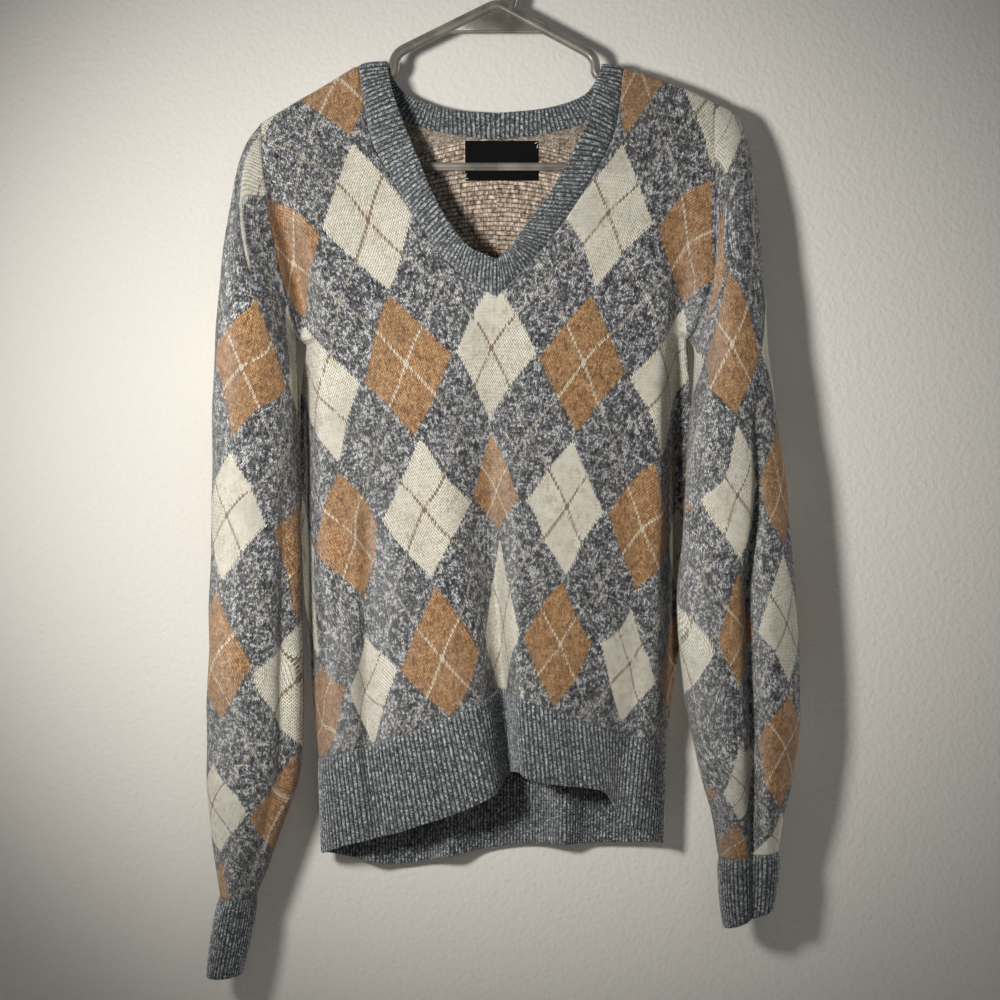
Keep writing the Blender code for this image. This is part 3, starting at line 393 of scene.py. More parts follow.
def sleeve_grid(side):
    """Rings of a sleeve from its armhole to its cuff, with the angle of each point.

    A ring is ring_shape of the table at its station, folded. It keeps (1 - station / ARMHOLE_STATION) **
    ARMHOLE_FADE of the difference between the armhole and the first ring.
    """
    armhole = armhole_ring(side)
    count = len(armhole)
    tip = count // 2
    length = lengths(np.vstack([armhole, armhole[:1]])[None])[0]
    up, down = length[:-1] / length[tip], (length[:-1] - length[tip]) / (length[-1] - length[tip])
    walked = math.pi * np.where(np.arange(count) <= tip, up, 1 + down)
    even = np.arange(count) / count * 2 * math.pi
    table = SLEEVE_RIGHT if side < 0 else SLEEVE_LEFT
    stations = np.arange(1, SLEEVE_RINGS + 1) / SLEEVE_RINGS
    angles = walked + (even - walked) * np.minimum(1, stations / EVEN_STATION)[:, None]
    rings = fold_rings(ring_shape(follow(table, stations), angles), angles, stations,
                       SLEEVE_FOLDS_RIGHT if side < 0 else SLEEVE_FOLDS_LEFT)
    first = ring_shape([table[0][1:]], walked[None])[0]
    keep = np.maximum(0, 1 - stations / ARMHOLE_STATION) ** ARMHOLE_FADE
    rings += keep[:, None, None] * (armhole - first)
    return (np.concatenate([armhole[None], rings]), np.concatenate([walked[None], angles]),
            np.concatenate([[0], stations]))


# ---------------------------------------------------------------- argyle and stitches on the cloth

# Camera's place, and the height and width of one argyle unit in stitches
CAMERA = (2.5, -2200, -476)
UNIT_WALES = 38
UNIT_COURSES = 40

# Argyle marks read off the photo: x and z on the plane through the hanger, where the camera sees the tips of
# a diamond, its middle or its raker lines, then the argyle column and height there. Side -1 is at the left.
ARGYLE_SEEN_FRONT = {
    -1: (
        (-122.8, -169.4, -1, -1.53), (-149.2, -150.8, -1.235, -1.765), (-110.0, -142.5, -0.77, -1.76),
        (-121.4, -176.4, -1, -1.47), (-70.3, -232.4, -0.53, -1), (-146.2, -246.4, -1.47, -1),
        (-90.8, -299.6, -1, -0.53), (-107.9, -241.7, -1, -1), (-196.3, -218.4, -2, -1.47),
        (-149.6, -253.9, -1.53, -1), (-162.0, -323.5, -2, -0.53), (-170.9, -277.9, -2, -1),
        (-170.9, -232.0, -1.765, -1.235), (-157.9, -287.3, -1.765, -0.765), (-188.3, -259.3, -2.2, -1.2),
        (-90.8, -304.3, -1, -0.47), (-38.8, -353.7, -0.53, 0), (-111.4, -377.6, -1.47, 0),
        (-68.6, -421.4, -1, 0.47), (-76.4, -361.7, -1, 0), (-101.6, -334.0, -1.235, -0.235),
        (-63.4, -329.8, -0.765, -0.235), (-90.8, -397.4, -1.235, 0.235), (-51.2, -388.1, -0.765, 0.235),
        (-115.3, -377.6, -1.53, 0), (-132.8, -444.1, -2, 0.47), (-150.4, -387.8, -2, 0),
        (-125.8, -410.2, -1.765, 0.235), (-141.1, -353.4, -1.765, -0.235), (-65.2, -424.7, -1, 0.53),
        (-22.7, -479.0, -0.53, 1), (-95.5, -491.9, -1.47, 1), (-54.7, -540.8, -1, 1.47),
        (-61.0, -483.7, -1, 1), (-81.0, -461.0, -1.235, 0.765), (-44.6, -455.7, -0.765, 0.765),
        (-75.7, -521.0, -1.235, 1.235), (-37.6, -509.3, -0.765, 1.235), (-132.8, -452.6, -2, 0.53),
        (-102.0, -496.5, -1.53, 1), (-111.8, -558.3, -2, 1.47), (-152.0, -517.5, -2.47, 1),
        (-118.4, -507.1, -2, 1), (-113.0, -472.1, -1.765, 0.765), (-129.4, -542.0, -2.235, 1.235),
        (-145.7, -483.7, -2.235, 0.765), (-110.3, -591.2, -2, 1.53), (-83.2, -617.6, -1.53, 2),
        (-104.2, -683.6, -2, 2.47), (-122.7, -634.4, -2.47, 2), (-111.5, -637.3, -2, 2),
        (-94.7, -650.0, -1.765, 2.235), (-148.7, -615.4, -3, 1.53), (-128.1, -635.6, -2.53, 2),
        (-146.7, -664.4, -3, 2), (-135.0, -670.4, -2.765, 2.235), (-51.6, -549.0, -1, 1.53),
        (-15.7, -603.7, -0.53, 2), (-81.5, -618.8, -1.47, 2), (-35.9, -665.6, -1, 2.47),
        (-45.9, -609.2, -1, 2), (-67.1, -582.8, -1.235, 1.765), (-31.6, -574.9, -0.765, 1.765),
        (-59.1, -641.6, -1.235, 2.235), (-23.2, -633.2, -0.765, 2.235), (-33.6, -350.8, -0.47, 0),
        (-5.0, -348.9, 0, 0), (-5.9, -409.6, 0, 0.47), (-19.3, -472.6, -0.47, 1), (-5.0, -420.6, 0, 0.53),
        (-9.2, -588.6, -0.47, 2), (1.7, -501.2, 0, 1.47),
    ),
    1: (
        (106.8, -169.4, 1, -1.53), (103.8, -141.4, 0.77, -1.76), (128.7, -139.6, 1.235, -1.765),
        (105.7, -176.4, 1, -1.47), (57.1, -237.1, 0.53, -1), (131.0, -242.9, 1.47, -1),
        (82.8, -296.6, 1, -0.53), (93.2, -234.8, 1, -1), (82.3, -206.7, 0.765, -1.235),
        (118.9, -210.2, 1.235, -1.235), (71.6, -261.5, 0.765, -0.765), (105.7, -268.5, 1.235, -0.765),
        (179.6, -206.7, 2, -1.47), (136.4, -246.4, 1.53, -1), (157.1, -310.1, 2, -0.53),
        (160.4, -261.5, 2, -1), (155.1, -220.6, 1.765, -1.235), (165.6, -301.3, 2.235, -0.765),
        (147.0, -282.5, 1.765, -0.765), (180.2, -249.9, 2.235, -1.235), (79.3, -304.6, 1, -0.47),
        (36.1, -356.0, 0.53, 0), (107.4, -369.2, 1.47, 0), (66.9, -418.4, 1, 0.47), (72.8, -360.8, 1, 0),
        (58.3, -326.9, 0.765, -0.235), (94.4, -337.4, 1.235, -0.235), (51.2, -389.6, 0.765, 0.235),
        (85.3, -395.6, 1.235, 0.235), (112.2, -372.8, 1.53, 0), (138.1, -440.0, 2, 0.47),
        (126.1, -399.2, 1.765, 0.235), (136.5, -347.5, 1.765, -0.235), (63.8, -426.8, 1, 0.53),
        (24.9, -476.0, 0.53, 1), (89.0, -485.6, 1.47, 1), (57.7, -539.6, 1, 1.47), (58.9, -482.0, 1, 1),
        (43.3, -449.6, 0.765, 0.765), (75.7, -455.6, 1.235, 0.765), (38.6, -508.4, 0.765, 1.235),
        (71.4, -512.0, 1.235, 1.235), (133.3, -444.8, 2, 0.53), (94.4, -488.0, 1.53, 1),
        (116.5, -551.6, 2, 1.47), (121.8, -500.0, 2, 1), (109.8, -464.0, 1.765, 0.765),
        (136.2, -534.8, 2.235, 1.235), (139.4, -485.6, 2.235, 0.765), (105.0, -521.6, 1.765, 1.235),
        (55.4, -544.4, 1, 1.53), (22.4, -591.2, 0.53, 2), (79.3, -598.4, 1.47, 2), (48.1, -648.8, 1, 2.47),
        (53.4, -597.2, 1, 2), (36.9, -566.0, 0.765, 1.765), (66.9, -574.4, 1.235, 1.765),
        (33.7, -622.9, 0.765, 2.235), (66.1, -627.2, 1.235, 2.235), (112.9, -567.2, 2, 1.53),
        (87.3, -596.0, 1.53, 2), (132.7, -628.0, 2.47, 2), (104.5, -663.2, 2, 2.47), (111.7, -614.0, 2, 2),
        (102.1, -586.4, 1.765, 1.765), (94.9, -630.8, 1.765, 2.235), (121.3, -597.2, 2.235, 1.765),
        (32.8, -352.5, 0.47, 0), (18.1, -474.8, 0.47, 1), (19.3, -588.6, 0.47, 2),
    ),
}
ARGYLE_SEEN_SLEEVE = {
    -1: (
        (-199.3, -212.6, 0.2, 0.2), (-217.1, -219.0, -0.05, 0.47), (-202.8, -305.2, 0, 0.53),
        (-177.2, -379.9, 0.47, 1), (-222.6, -423.8, 0, 1.47), (-215.0, -364.7, 0, 1),
        (-189.3, -342.1, 0.235, 0.765), (-227.1, -333.2, -0.235, 0.765), (-229.7, -383.3, -0.235, 1.235),
        (-199.3, -398.6, 0.235, 1.235), (-223.8, -435.8, 0, 1.53), (-193.8, -497.2, 0.47, 2),
        (-231.3, -543.2, 0, 2.47), (-227.3, -489.4, 0, 2), (-206.3, -466.2, 0.235, 1.765),
        (-214.5, -521.0, 0.235, 2.235), (-187.7, -501.2, 0.53, 2), (-166.7, -475.5, 0.8, 1.765),
        (-167.8, -531.4, 0.8, 2.235), (-206.3, -617.6, 0.47, 3), (-234.9, -551.6, 0, 2.53),
        (-238.6, -617.6, 0, 3), (-220.7, -588.8, 0.235, 2.765), (-224.3, -648.8, 0.235, 3.235),
        (-241.1, -659.6, 0, 3.47), (-204.6, -621.2, 0.53, 3), (-169.1, -582.7, 1, 2.53),
        (-168.0, -681.0, 1, 3.47), (-182.3, -598.4, 0.765, 2.765), (-187.1, -656.0, 0.765, 3.235),
        (-166.0, -626.0, 1, 3), (-237.5, -696.8, 0, 3.53), (-209.9, -740.0, 0.47, 4),
        (-229.7, -770.6, 0.05, 4.45), (-231.5, -716.0, 0.2, 3.8), (-208.0, -743.6, 0.53, 4),
        (-165.5, -693.2, 1, 3.53), (-194.3, -762.8, 0.765, 4.235), (-188.2, -717.2, 0.765, 3.765),
        (-179.8, -725.5, 0.95, 3.95),
    ),
    1: (
        (184.8, -200.7, -0.1, 0.42), (199.4, -191.6, 0.1, 0.42), (171.4, -143.7, -0.35, -0.3),
        (193.6, -284.9, 0, 0.53), (197.7, -345.2, 0, 1), (176.1, -323.4, -0.235, 0.765),
        (210.4, -312.6, 0.235, 0.765), (213.0, -376.4, 0.235, 1.235), (178.9, -382.4, -0.235, 1.235),
        (200.5, -404.0, 0, 1.47), (220.1, -352.5, 0.45, 1), (201.7, -412.4, 0, 1.53),
        (171.3, -474.8, -0.47, 2), (218.5, -464.0, 0.47, 2), (203.4, -525.2, 0, 2.47),
        (201.7, -472.4, 0, 2), (192.1, -456.8, -0.235, 1.765), (190.9, -506.0, -0.235, 2.235),
        (165.0, -481.9, -0.53, 2), (158.5, -467.6, -0.65, 1.87), (152.5, -522.8, -0.8, 2.27),
        (220.9, -459.2, 0.53, 2), (229.3, -436.4, 0.75, 1.8), (238.9, -506.0, 0.95, 2.4),
        (236.5, -467.6, 0.95, 2), (202.4, -537.2, 0, 2.53), (186.1, -593.6, -0.47, 3),
        (202.9, -632.0, 0, 3.47), (193.3, -567.2, -0.235, 2.765), (198.2, -624.8, -0.13, 3.36),
        (182.5, -605.6, -0.53, 3), (152.5, -549.1, -1, 2.53), (157.3, -648.8, -1, 3.47),
        (162.1, -581.6, -0.8, 2.8), (163.3, -629.6, -0.8, 3.2), (152.9, -599.5, -1, 3),
        (219.2, -586.4, 0.53, 3), (244.9, -629.6, 1, 3.47), (232.9, -603.2, 0.765, 3.235),
        (243.0, -580.2, 1, 3), (245.6, -639.2, 1, 3.53), (219.7, -680.0, 0.53, 4),
        (228.1, -663.2, 0.765, 3.765), (242.5, -684.8, 1, 4), (225.7, -716.0, 0.765, 4.235),
        (237.7, -732.8, 1, 4.47), (202.9, -684.8, 0, 3.53), (189.8, -723.2, -0.47, 4),
        (203.4, -744.8, 0, 4.47), (165.0, -695.6, -0.9, 3.6), (185.6, -724.4, -0.53, 4),
        (178.9, -734.0, -0.7, 4.2),
    ),
}

# A mark's place on the cloth is read from the points seen nearest to it, if one is near enough
NEAR_POINTS = 7
NEAR_SOFTNESS = 0.84
NEAR_LIMIT = 7.6

# Marks where the camera sees no cloth. At the front's outer edge they follow the nearest seen marks
EDGE_HEIGHTS = (-380, -450, -520, -590, -650, -690)
EDGE_NEIGHBOURS = 4
EDGE_SOFTNESS = 5
EDGE_UNIT = (84, -122)

# Round the back of a sleeve their column follows the outermost mark nearby, and their height is by table
SLEEVE_LENGTH = 560
BACK_STATIONS = (0.06, 0.25, 0.45, 0.65, 0.85, 1.00)
BACK_REACH = 90
BACK_SHARE = 0.62
BACK_UNIT = 77
SEEN_TURN = math.pi + 0.25
# z and argyle height along a sleeve
SLEEVE_HEIGHTS_RIGHT = (
    (-803, 4.65), (-762, 4.4), (-727, 4), (-668, 3.5), (-608, 3), (-544, 2.47), (-492, 2), (-436, 1.53),
    (-426, 1.47), (-370, 1), (-305, 0.53), (-217, 0.47), (-160, 0), (-120, -0.3),
)
SLEEVE_HEIGHTS_LEFT_INNER = (
    (-771, 4.9), (-735, 4.47), (-700, 4), (-648, 3.47), (-602, 3), (-535, 2.47), (-476, 2), (-421, 1.53),
    (-410, 1.47), (-360, 1), (-300, 0.53), (-198, 0.47), (-142, 0), (-110, -0.3),
)
SLEEVE_HEIGHTS_LEFT_OUTER = (
    (-771, 4.9), (-726, 4.47), (-681, 4), (-625, 3.47), (-577, 3), (-518, 2.47), (-463, 2), (-415, 1.53),
    (-404, 1.47), (-352, 1), (-293, 0.53), (-198, 0.47), (-142, 0), (-110, -0.3),
)

# Back panel: row and argyle height, from the foot up to the shoulder; the width of one unit; and the length
# walked along the back neck for each millimetre of x
HEIGHTS_BACK_LEFT = (
    (0.00, 2.46), (0.18, 2.0), (0.50, 1.0), (0.843, 0.0), (1.143, -0.53), (1.43, -1.0), (1.75, -1.47),
    (1.88, -1.84), (1.94, -2.0), (2.0, -2.12),
)
HEIGHTS_BACK_RIGHT = (
    (0.00, 2.5), (0.21, 2.0), (0.49, 1.0), (0.847, 0.0), (1.143, -0.53), (1.45, -1.0), (1.73, -1.5),
    (1.89, -1.98), (2.0, -2.2),
)
BACK_UNIT_WIDTH = 68
BACK_NECK_WALK = 1.03

# How far the pattern may pass from a mark, and the length that the thin plate is measured in
MARK_SLACK = 0.0015
PLATE_UNIT = 100


def read_column(table, at):
    """Second column of a table at values of its first, in straight steps between its rows."""
    knots, values = np.array(sorted(table), float).T
    return np.interp(at, knots, values)


def found_on(points, places, seen):
    """Places on the cloth of the marks that the camera sees.

    A plane through the nearest points, weighted 1 / (distance + NEAR_SOFTNESS), gives the place at the mark.
    A mark seen off the cloth takes the place of its nearest point.
    """
    middle = np.array([CAMERA[0], CAMERA[2]])
    shown = middle + (points[:, [0, 2]] - middle) * (CAMERA[1] / (CAMERA[1] - points[:, 1:2]))
    found = []
    for mark in seen[:, :2]:
        away = np.linalg.norm(shown - mark, axis=1)
        near = np.argsort(away)[:NEAR_POINTS]
        weight = 1 / (away[near, None] + NEAR_SOFTNESS)
        plane = np.hstack([np.ones((NEAR_POINTS, 1)), shown[near] - mark]) * weight
        fitted = np.linalg.lstsq(plane, places[near] * weight, rcond=None)[0][0]
        found.append(fitted if away[near[0]] < NEAR_LIMIT else places[near[0]])
    return np.hstack([found, seen[:, 2:]])


def front_marks(grids, places):
    """Argyle marks of the front: length walked across, z, argyle column and height."""
    marks = []
    for side, seen in ARGYLE_SEEN_FRONT.items():
        own = found_on(grids[side].reshape(-1, 3), places[side].reshape(-1, 2), np.array(seen))
        edge = places[side][:, -1]
        for z in EDGE_HEIGHTS:
            place = edge[np.abs(edge[:, 1] - z).argmin()]
            step = place - own[:, :2]
            away = np.hypot(step[:, 0] / 2, step[:, 1])
            near = np.argsort(away)[:EDGE_NEIGHBOURS]
            carried = own[near, 2:] + step[near] / EDGE_UNIT
            weight = 1 / (away[near] + EDGE_SOFTNESS) ** 2
            marks.append([*place, *np.average(carried, axis=0, weights=weight)])
        marks.extend(own)
    return np.array(marks)


def sleeve_marks(side, closed, turn, places):
    """Argyle marks of a sleeve: length round it from its front point, length down, column and height."""
    ahead = turn < SEEN_TURN
    marks = found_on(closed[ahead], places[ahead], np.array(ARGYLE_SEEN_SLEEVE[side]))
    for station in BACK_STATIONS:
        behind = []
        down = station * SLEEVE_LENGTH
        ring = round(station * SLEEVE_RINGS)
        near = marks[np.abs(marks[:, 1] - down) < BACK_REACH]
        first, last = places[ring, 0, 0], places[ring, -1, 0]
        for around in (first, BACK_SHARE * last, last):
            outermost = near[(near[:, 0] * np.sign(around)).argmax()]
            heights = SLEEVE_HEIGHTS_LEFT_INNER if around < 0 else SLEEVE_HEIGHTS_LEFT_OUTER
            z = np.interp(around, places[ring, :, 0], closed[ring, :, 2])
            behind.append([around, down, outermost[2] + side * (around - outermost[0]) / BACK_UNIT,
                           read_column(SLEEVE_HEIGHTS_RIGHT if side < 0 else heights, z)])
        marks = np.vstack([marks, behind])
    return marks


def argyle_at(marks, places):
    """Argyle column and height at places of the cloth, by the smoothest thin plate through the marks.

    It is a plane and the sum over the marks of weight * r ** 2 * log r, r being the distance to the mark in
    PLATE_UNIT. MARK_SLACK lets it pass a little off each mark.
    """
    at, size = marks[:, :2] / PLATE_UNIT, len(marks)

    def bends(here):
        away = np.linalg.norm(here[:, None] - at[None], axis=2)
        return np.hstack([away ** 2 * np.log(np.maximum(away, CLOSE)), np.ones((len(here), 1)), here])

    whole = bends(at)
    whole = np.vstack([whole, np.hstack([whole[:, size:].T, np.zeros((3, 3))])])
    whole[np.arange(size), np.arange(size)] += MARK_SLACK
    weights = np.linalg.solve(whole, np.vstack([marks[:, 2:], np.zeros((3, 2))]))
    return (bends(places.reshape(-1, 2) / PLATE_UNIT) @ weights).reshape(*places.shape[:-1], 2)


def back_argyle(side, walked):
    """Argyle column and height of the points of half the back, from the length walked along each row."""
    rows = FINE_ROWS[:, None]
    heights = read_column(HEIGHTS_BACK_LEFT if side < 0 else HEIGHTS_BACK_RIGHT, rows) + 0 * walked
    neck = follow(NECK_BACK_LEFT if side < 0 else NECK_BACK_RIGHT, FINE_ROWS)[:, :1]
    start = np.where(rows <= BACK_NECK_ROW, 0, np.abs(neck) * BACK_NECK_WALK)
    return np.stack([side * (start + walked) / BACK_UNIT_WIDTH, heights], axis=2)


def sleeve_argyle(side, rings, angles, stations):
    """Argyle column and height of a sleeve's points, its first column repeated at the end."""
    closed = np.concatenate([rings, rings[:, :1]], axis=1)
    turn = np.concatenate([angles, angles[:, :1] + 2 * math.pi], axis=1)
    walked = lengths(closed)
    shift = 10.0 * np.arange(len(rings))[:, None]
    front_point = np.interp(math.pi / 2 + shift, (turn + shift).ravel(), walked.ravel())
    around = walked - front_point
    places = np.stack([around, stations[:, None] * SLEEVE_LENGTH + 0 * around], axis=2)
    return argyle_at(sleeve_marks(side, closed, turn, places), places)


# ---------------------------------------------------------------- meshes

# Space between neighbouring pieces, how far cloth is drawn in at a seam, and the shares of that beside the
# seam and along the underarm
VISUAL_GAP = 0.14
SEAM_DIP = 0.9
BESIDE_SEAM = 0.3
UNDERARM_SEAM = 0.7

# Shift of a sleeve's wales, so that its stitches take other random numbers than the body's
SLEEVE_WALE_SHIFT = 400

# Faint unevenness of the cloth in waves: height, then the lengths in x, y and z that turn each by a radian,
# its start, and how far a slow wave in z bends it
RIPPLES = (
    (0.30, 9.1, math.inf, 23, 1.3, 0), (0.25, -31, 17, 11.7, 0, 0), (0.22, 14.3, math.inf, -13.1, 0, 0.7),
)
RIPPLE_BEND = 37


def grid_quads(rows, columns):
    """Corner numbers of the quads of a grid of points, in the order (r c, r c+1, r+1 c+1, r+1 c)."""
    corner = np.arange(rows * columns).reshape(rows, columns)
    upper, lower = corner[:-1], corner[1:]
    return np.stack([upper[:, :-1], upper[:, 1:], lower[:, 1:], lower[:, :-1]], axis=2).reshape(-1, 4)


def make_piece(name, points, faces, maps=None, inside=None, materials=()):
    """Mesh object at the origin from points in millimetres.

    faces is a list of arrays of corner numbers, one row a face. maps has the values of each map at the faces'
    corners, and inside marks the faces that take the second material.
    """
    mesh = bpy.data.meshes.new(name)
    sizes = np.concatenate([np.full(len(block), block.shape[1]) for block in faces])
    corners = np.concatenate([block.ravel() for block in faces]).astype(np.int32)
    mesh.vertices.add(len(points))
    mesh.vertices.foreach_set("co", (np.asarray(points) * MM).astype(np.float32).ravel())
    mesh.loops.add(len(corners))
    mesh.loops.foreach_set("vertex_index", corners)
    mesh.polygons.add(len(sizes))
    mesh.polygons.foreach_set("loop_start", (np.cumsum(sizes) - sizes).astype(np.int32))
    mesh.update(calc_edges=True)
    mesh.shade_smooth()
    for label, values in (maps or {}).items():
        mesh.uv_layers.new(name=label).data.foreach_set("uv", values.astype(np.float32).ravel())
    for material in materials:
        mesh.materials.append(material)
    if inside is not None:
        mesh.polygons.foreach_set("material_index", inside.astype(np.int32))
    mesh.validate()
    result = bpy.data.objects.new(name, mesh)
    bpy.context.scene.collection.objects.link(result)
    return result


def unit(ways):
    """The ways at length 1."""
    return ways / np.maximum(np.linalg.norm(ways, axis=-1, keepdims=True), 1e-9)


def point_normals(points, quads):
    """Unit normal of each point: the sum of cross(c - a, d - b) at length 1 over the faces round it."""
    a, b, c, d = (points[quads[:, k]] for k in range(4))
    total = np.zeros_like(points)
    np.add.at(total, quads.ravel(), np.repeat(unit(np.cross(c - a, d - b)), 4, axis=0))
    return unit(total)


def wrapped_quads(rows, around, wrap_rows=False):
    """Quads of a grid whose last column is joined to its first, and with wrap_rows its last row too."""
    open_quads = grid_quads(rows + wrap_rows, around + 1)
    row, column = open_quads // (around + 1), open_quads % (around + 1)
    return row % rows * around + column % around


def rim_quads(edges, size):
    """Quads from the open edges of a surface to those of its other side, numbered size further on."""
    return np.stack([edges[:, 1], edges[:, 0], edges[:, 0] + size, edges[:, 1] + size], axis=1)


def open_edges(quads, size):
    """Edges with a face on one side only, in the order of that face."""
    edges = np.concatenate([quads[:, [k, (k + 1) % 4]] for k in range(4)]).astype(np.int64)
    forward, backward = edges @ (size, 1), edges @ (1, size)
    return edges[~np.isin(forward, backward)]


def share_normals(surfaces):
    """Gives points that several surfaces share one normal, the mean of theirs, and one offset to the inside.

    The offset is the wall over the cosine between the mean and the normals, at most 1 / MITRE_LIMIT of it.
    """
    points = np.concatenate([s["points"] for s in surfaces])
    normals = np.concatenate([point_normals(s["points"], s["quads"]) for s in surfaces])
    _, place = np.unique(np.round(points, 2), axis=0, return_inverse=True)
    place = place.ravel()
    total = np.zeros((place.max() + 1, 3))
    np.add.at(total, place, normals)
    mean = unit(total)[place]
    lean = np.bincount(place, np.sum(mean * normals, axis=1)) / np.bincount(place)
    inward = -mean * (WALL / np.maximum(MITRE_LIMIT, lean))[place][:, None]
    start = 0
    for surface in surfaces:
        end = start + len(surface["points"])
        surface["normals"], surface["inward"] = mean[start:end], inward[start:end]
        start = end


def drawn_back(points, quads, normals, gap):
    """Points with the open edges moved in by half the gap, each along its own surface."""
    edges = open_edges(quads, len(points))
    along = points[edges[:, 1]] - points[edges[:, 0]]
    total = np.zeros_like(points)
    for k in (0, 1):
        np.add.at(total, edges[:, k], unit(np.cross(normals[edges[:, k]], along)))
    overlap = (np.sum(total * total, axis=1) - 2) / 2
    return points + gap / 2 * total / np.maximum(0.5, 1 + overlap)[:, None]


def seam_dip(surface, points):
    """Share of SEAM_DIP at each point: 1 at a sewn seam, BESIDE_SEAM at the points next to it."""
    quads, size = surface["quads"], len(points)
    edges = open_edges(quads, size)
    sewn = np.zeros(size)
    sewn[edges.ravel()] = 1
    sewn[surface["foot"]] = 0
    sewn = np.maximum(sewn, surface.get("line", 0))
    near = np.zeros(size)
    np.maximum.at(near, quads.ravel(), np.repeat(sewn[quads].max(axis=1), 4))
    return np.where(sewn > 0, sewn, BESIDE_SEAM * near)


def panel_surface(front):
    """Both halves of a body panel as one surface. Points of the centre column are shared up to the neck."""
    columns = PANEL_COLUMNS + 1
    count = len(FINE_ROWS)
    grids, walked, places = {}, {}, {}
    for side in (-1, 1):
        grid, long = half_panel(side, front)
        grids[side], walked[side] = grid, long * np.linspace(0, 1, columns)
        places[side] = np.stack([side * (np.abs(grid[:, :1, 0]) + walked[side]), grid[..., 2]], axis=2)
    if front:
        marks = front_marks(grids, places)
        argyle = [argyle_at(marks, places[side]) for side in grids]
    else:
        argyle = [back_argyle(side, walked[side]) for side in grids]
    left = grid_quads(count, columns)
    right = left[:, ::-1] + count * columns
    quads = np.concatenate([left, right])
    quads = quads[:, ::-1] if front else quads
    points = np.concatenate([grid.reshape(-1, 3) for grid in grids.values()])
    argyle = np.concatenate(argyle).reshape(-1, 2)
    foot = np.concatenate([np.arange(columns)[::-1], np.arange(1, columns) + count * columns])
    _, first, place = np.unique(np.round(points, 2), axis=0, return_index=True, return_inverse=True)
    place = place.ravel()
    corner_argyle = argyle[quads]
    return {
        "points": points[first], "quads": place[quads], "foot": place[foot], "place": place,
        "diamonds": corner_argyle, "stitches": corner_argyle * (UNIT_WALES, UNIT_COURSES),
    }


def sleeve_surface(side):
    """A sleeve as a closed tube of rings."""
    rings, angles, stations = sleeve_grid(side)
    count, around = angles.shape
    quads = wrapped_quads(count, around)
    diamonds = sleeve_argyle(side, rings, angles, stations).reshape(-1, 2)[grid_quads(count, around + 1)]
    stitches = diamonds * (UNIT_WALES, UNIT_COURSES) + (SLEEVE_WALE_SHIFT, 0)
    if side > 0:
        quads, diamonds, stitches = quads[:, ::-1], diamonds[:, ::-1], stitches[:, ::-1]
    line = np.zeros((count, around))
    line[:, 0] = UNDERARM_SEAM
    return {
        "points": rings.reshape(-1, 3), "quads": quads, "foot": np.arange(around) + (count - 1) * around,
        "diamonds": diamonds, "stitches": stitches, "line": line.ravel(),
    }


def ripple(points):
    """Height of the cloth's faint unevenness at each point."""
    x, y, z = points.T
    total = np.zeros(len(points))
    for height, turn_x, turn_y, turn_z, start, bend in RIPPLES:
        slow = bend * np.sin(z / RIPPLE_BEND)
        total += height * np.sin(x / turn_x + y / turn_y + z / turn_z + start + slow)
    return total


def cloth_wall(name, surface, materials):
    """Cloth with its thickness: the surface, the same one wall inside, and rims along its open edges."""
    points, quads, normals = surface["points"], surface["quads"], surface["normals"]
    size = len(points)
    edges = open_edges(quads, size)
    free = np.ones(size)
    free[edges.ravel()] = 0
    dip = seam_dip(surface, points)
    shift = -SEAM_DIP * dip + ripple(points) * free * (dip == 0)
    outside = drawn_back(points, quads, normals, VISUAL_GAP) + normals * shift[:, None]
    rims = rim_quads(edges, size)
    maps = {}
    for label in ("stitches", "diamonds"):
        values = surface[label]
        at_point = np.zeros((size, 2))
        at_point[quads.ravel()] = values.reshape(-1, 2)
        maps[label] = np.concatenate([values.reshape(-1, 2), values[:, ::-1].reshape(-1, 2),
                                      at_point[rims % size].reshape(-1, 2)])
    inside = np.concatenate([np.zeros(len(quads)), np.ones(len(quads)), np.zeros(len(rims))])
    faces = [np.concatenate([quads, quads[:, ::-1] + size, rims])]
    points = np.concatenate([outside, outside + surface["inward"]])
    return make_piece(name, points, faces, maps, inside, materials)


# ---------------------------------------------------------------- ribs

# Points across one rib, its height on the outside, the share of it on the inside, and the curve of its ridge
RIB_STEPS = 8
RIB_HEIGHT = 1.15
RIB_INSIDE = 0.55
RIB_CURVE = 1.6

# Steps round the free edge, the cloth taken by each, and the height of a course of stitches
EDGE_STEPS = 5
EDGE_STEP_LENGTH = 0.6
COURSE = 1.4


def reread(points, values, shares):
    """Values given at the points of a line, read at shares of its length."""
    walked = lengths(points[None])[0]
    at = np.asarray(shares) * walked[-1]
    return np.stack([np.interp(at, walked, column) for column in values.T], axis=1)


def between(top, bottom, shares, bow=None):
    """Rows from top to bottom at the given shares, bowed outwards by 4 s (1 - s) of bow."""
    s = np.asarray(shares)[:, None, None]
    rows = top[None] * (1 - s) + bottom[None] * s
    return rows if bow is None else rows + 4 * s * (1 - s) * bow


def rib_rows(top, bottom, top_normals, count, blend, closed, outward, bow=None):
    """Rows of a rib from its seam to its free edge, with their normals and their shares of the way.

    The normals start as the seam's own and are the rib's from the share 1 / blend on.
    """
    steps = np.linspace(0, 1, count)
    rows = between(top, bottom, steps, bow)
    along = np.roll(rows, -1, axis=1) - np.roll(rows, 1, axis=1) if closed else np.gradient(rows, axis=1)
    normals = unit(np.cross(along, np.gradient(rows, axis=0)) * (1 if outward else -1))
    share = np.clip(1 - steps * blend, 0, 1)[:, None, None]
    return rows, unit(normals * (1 - share) + top_normals[None] * share), steps


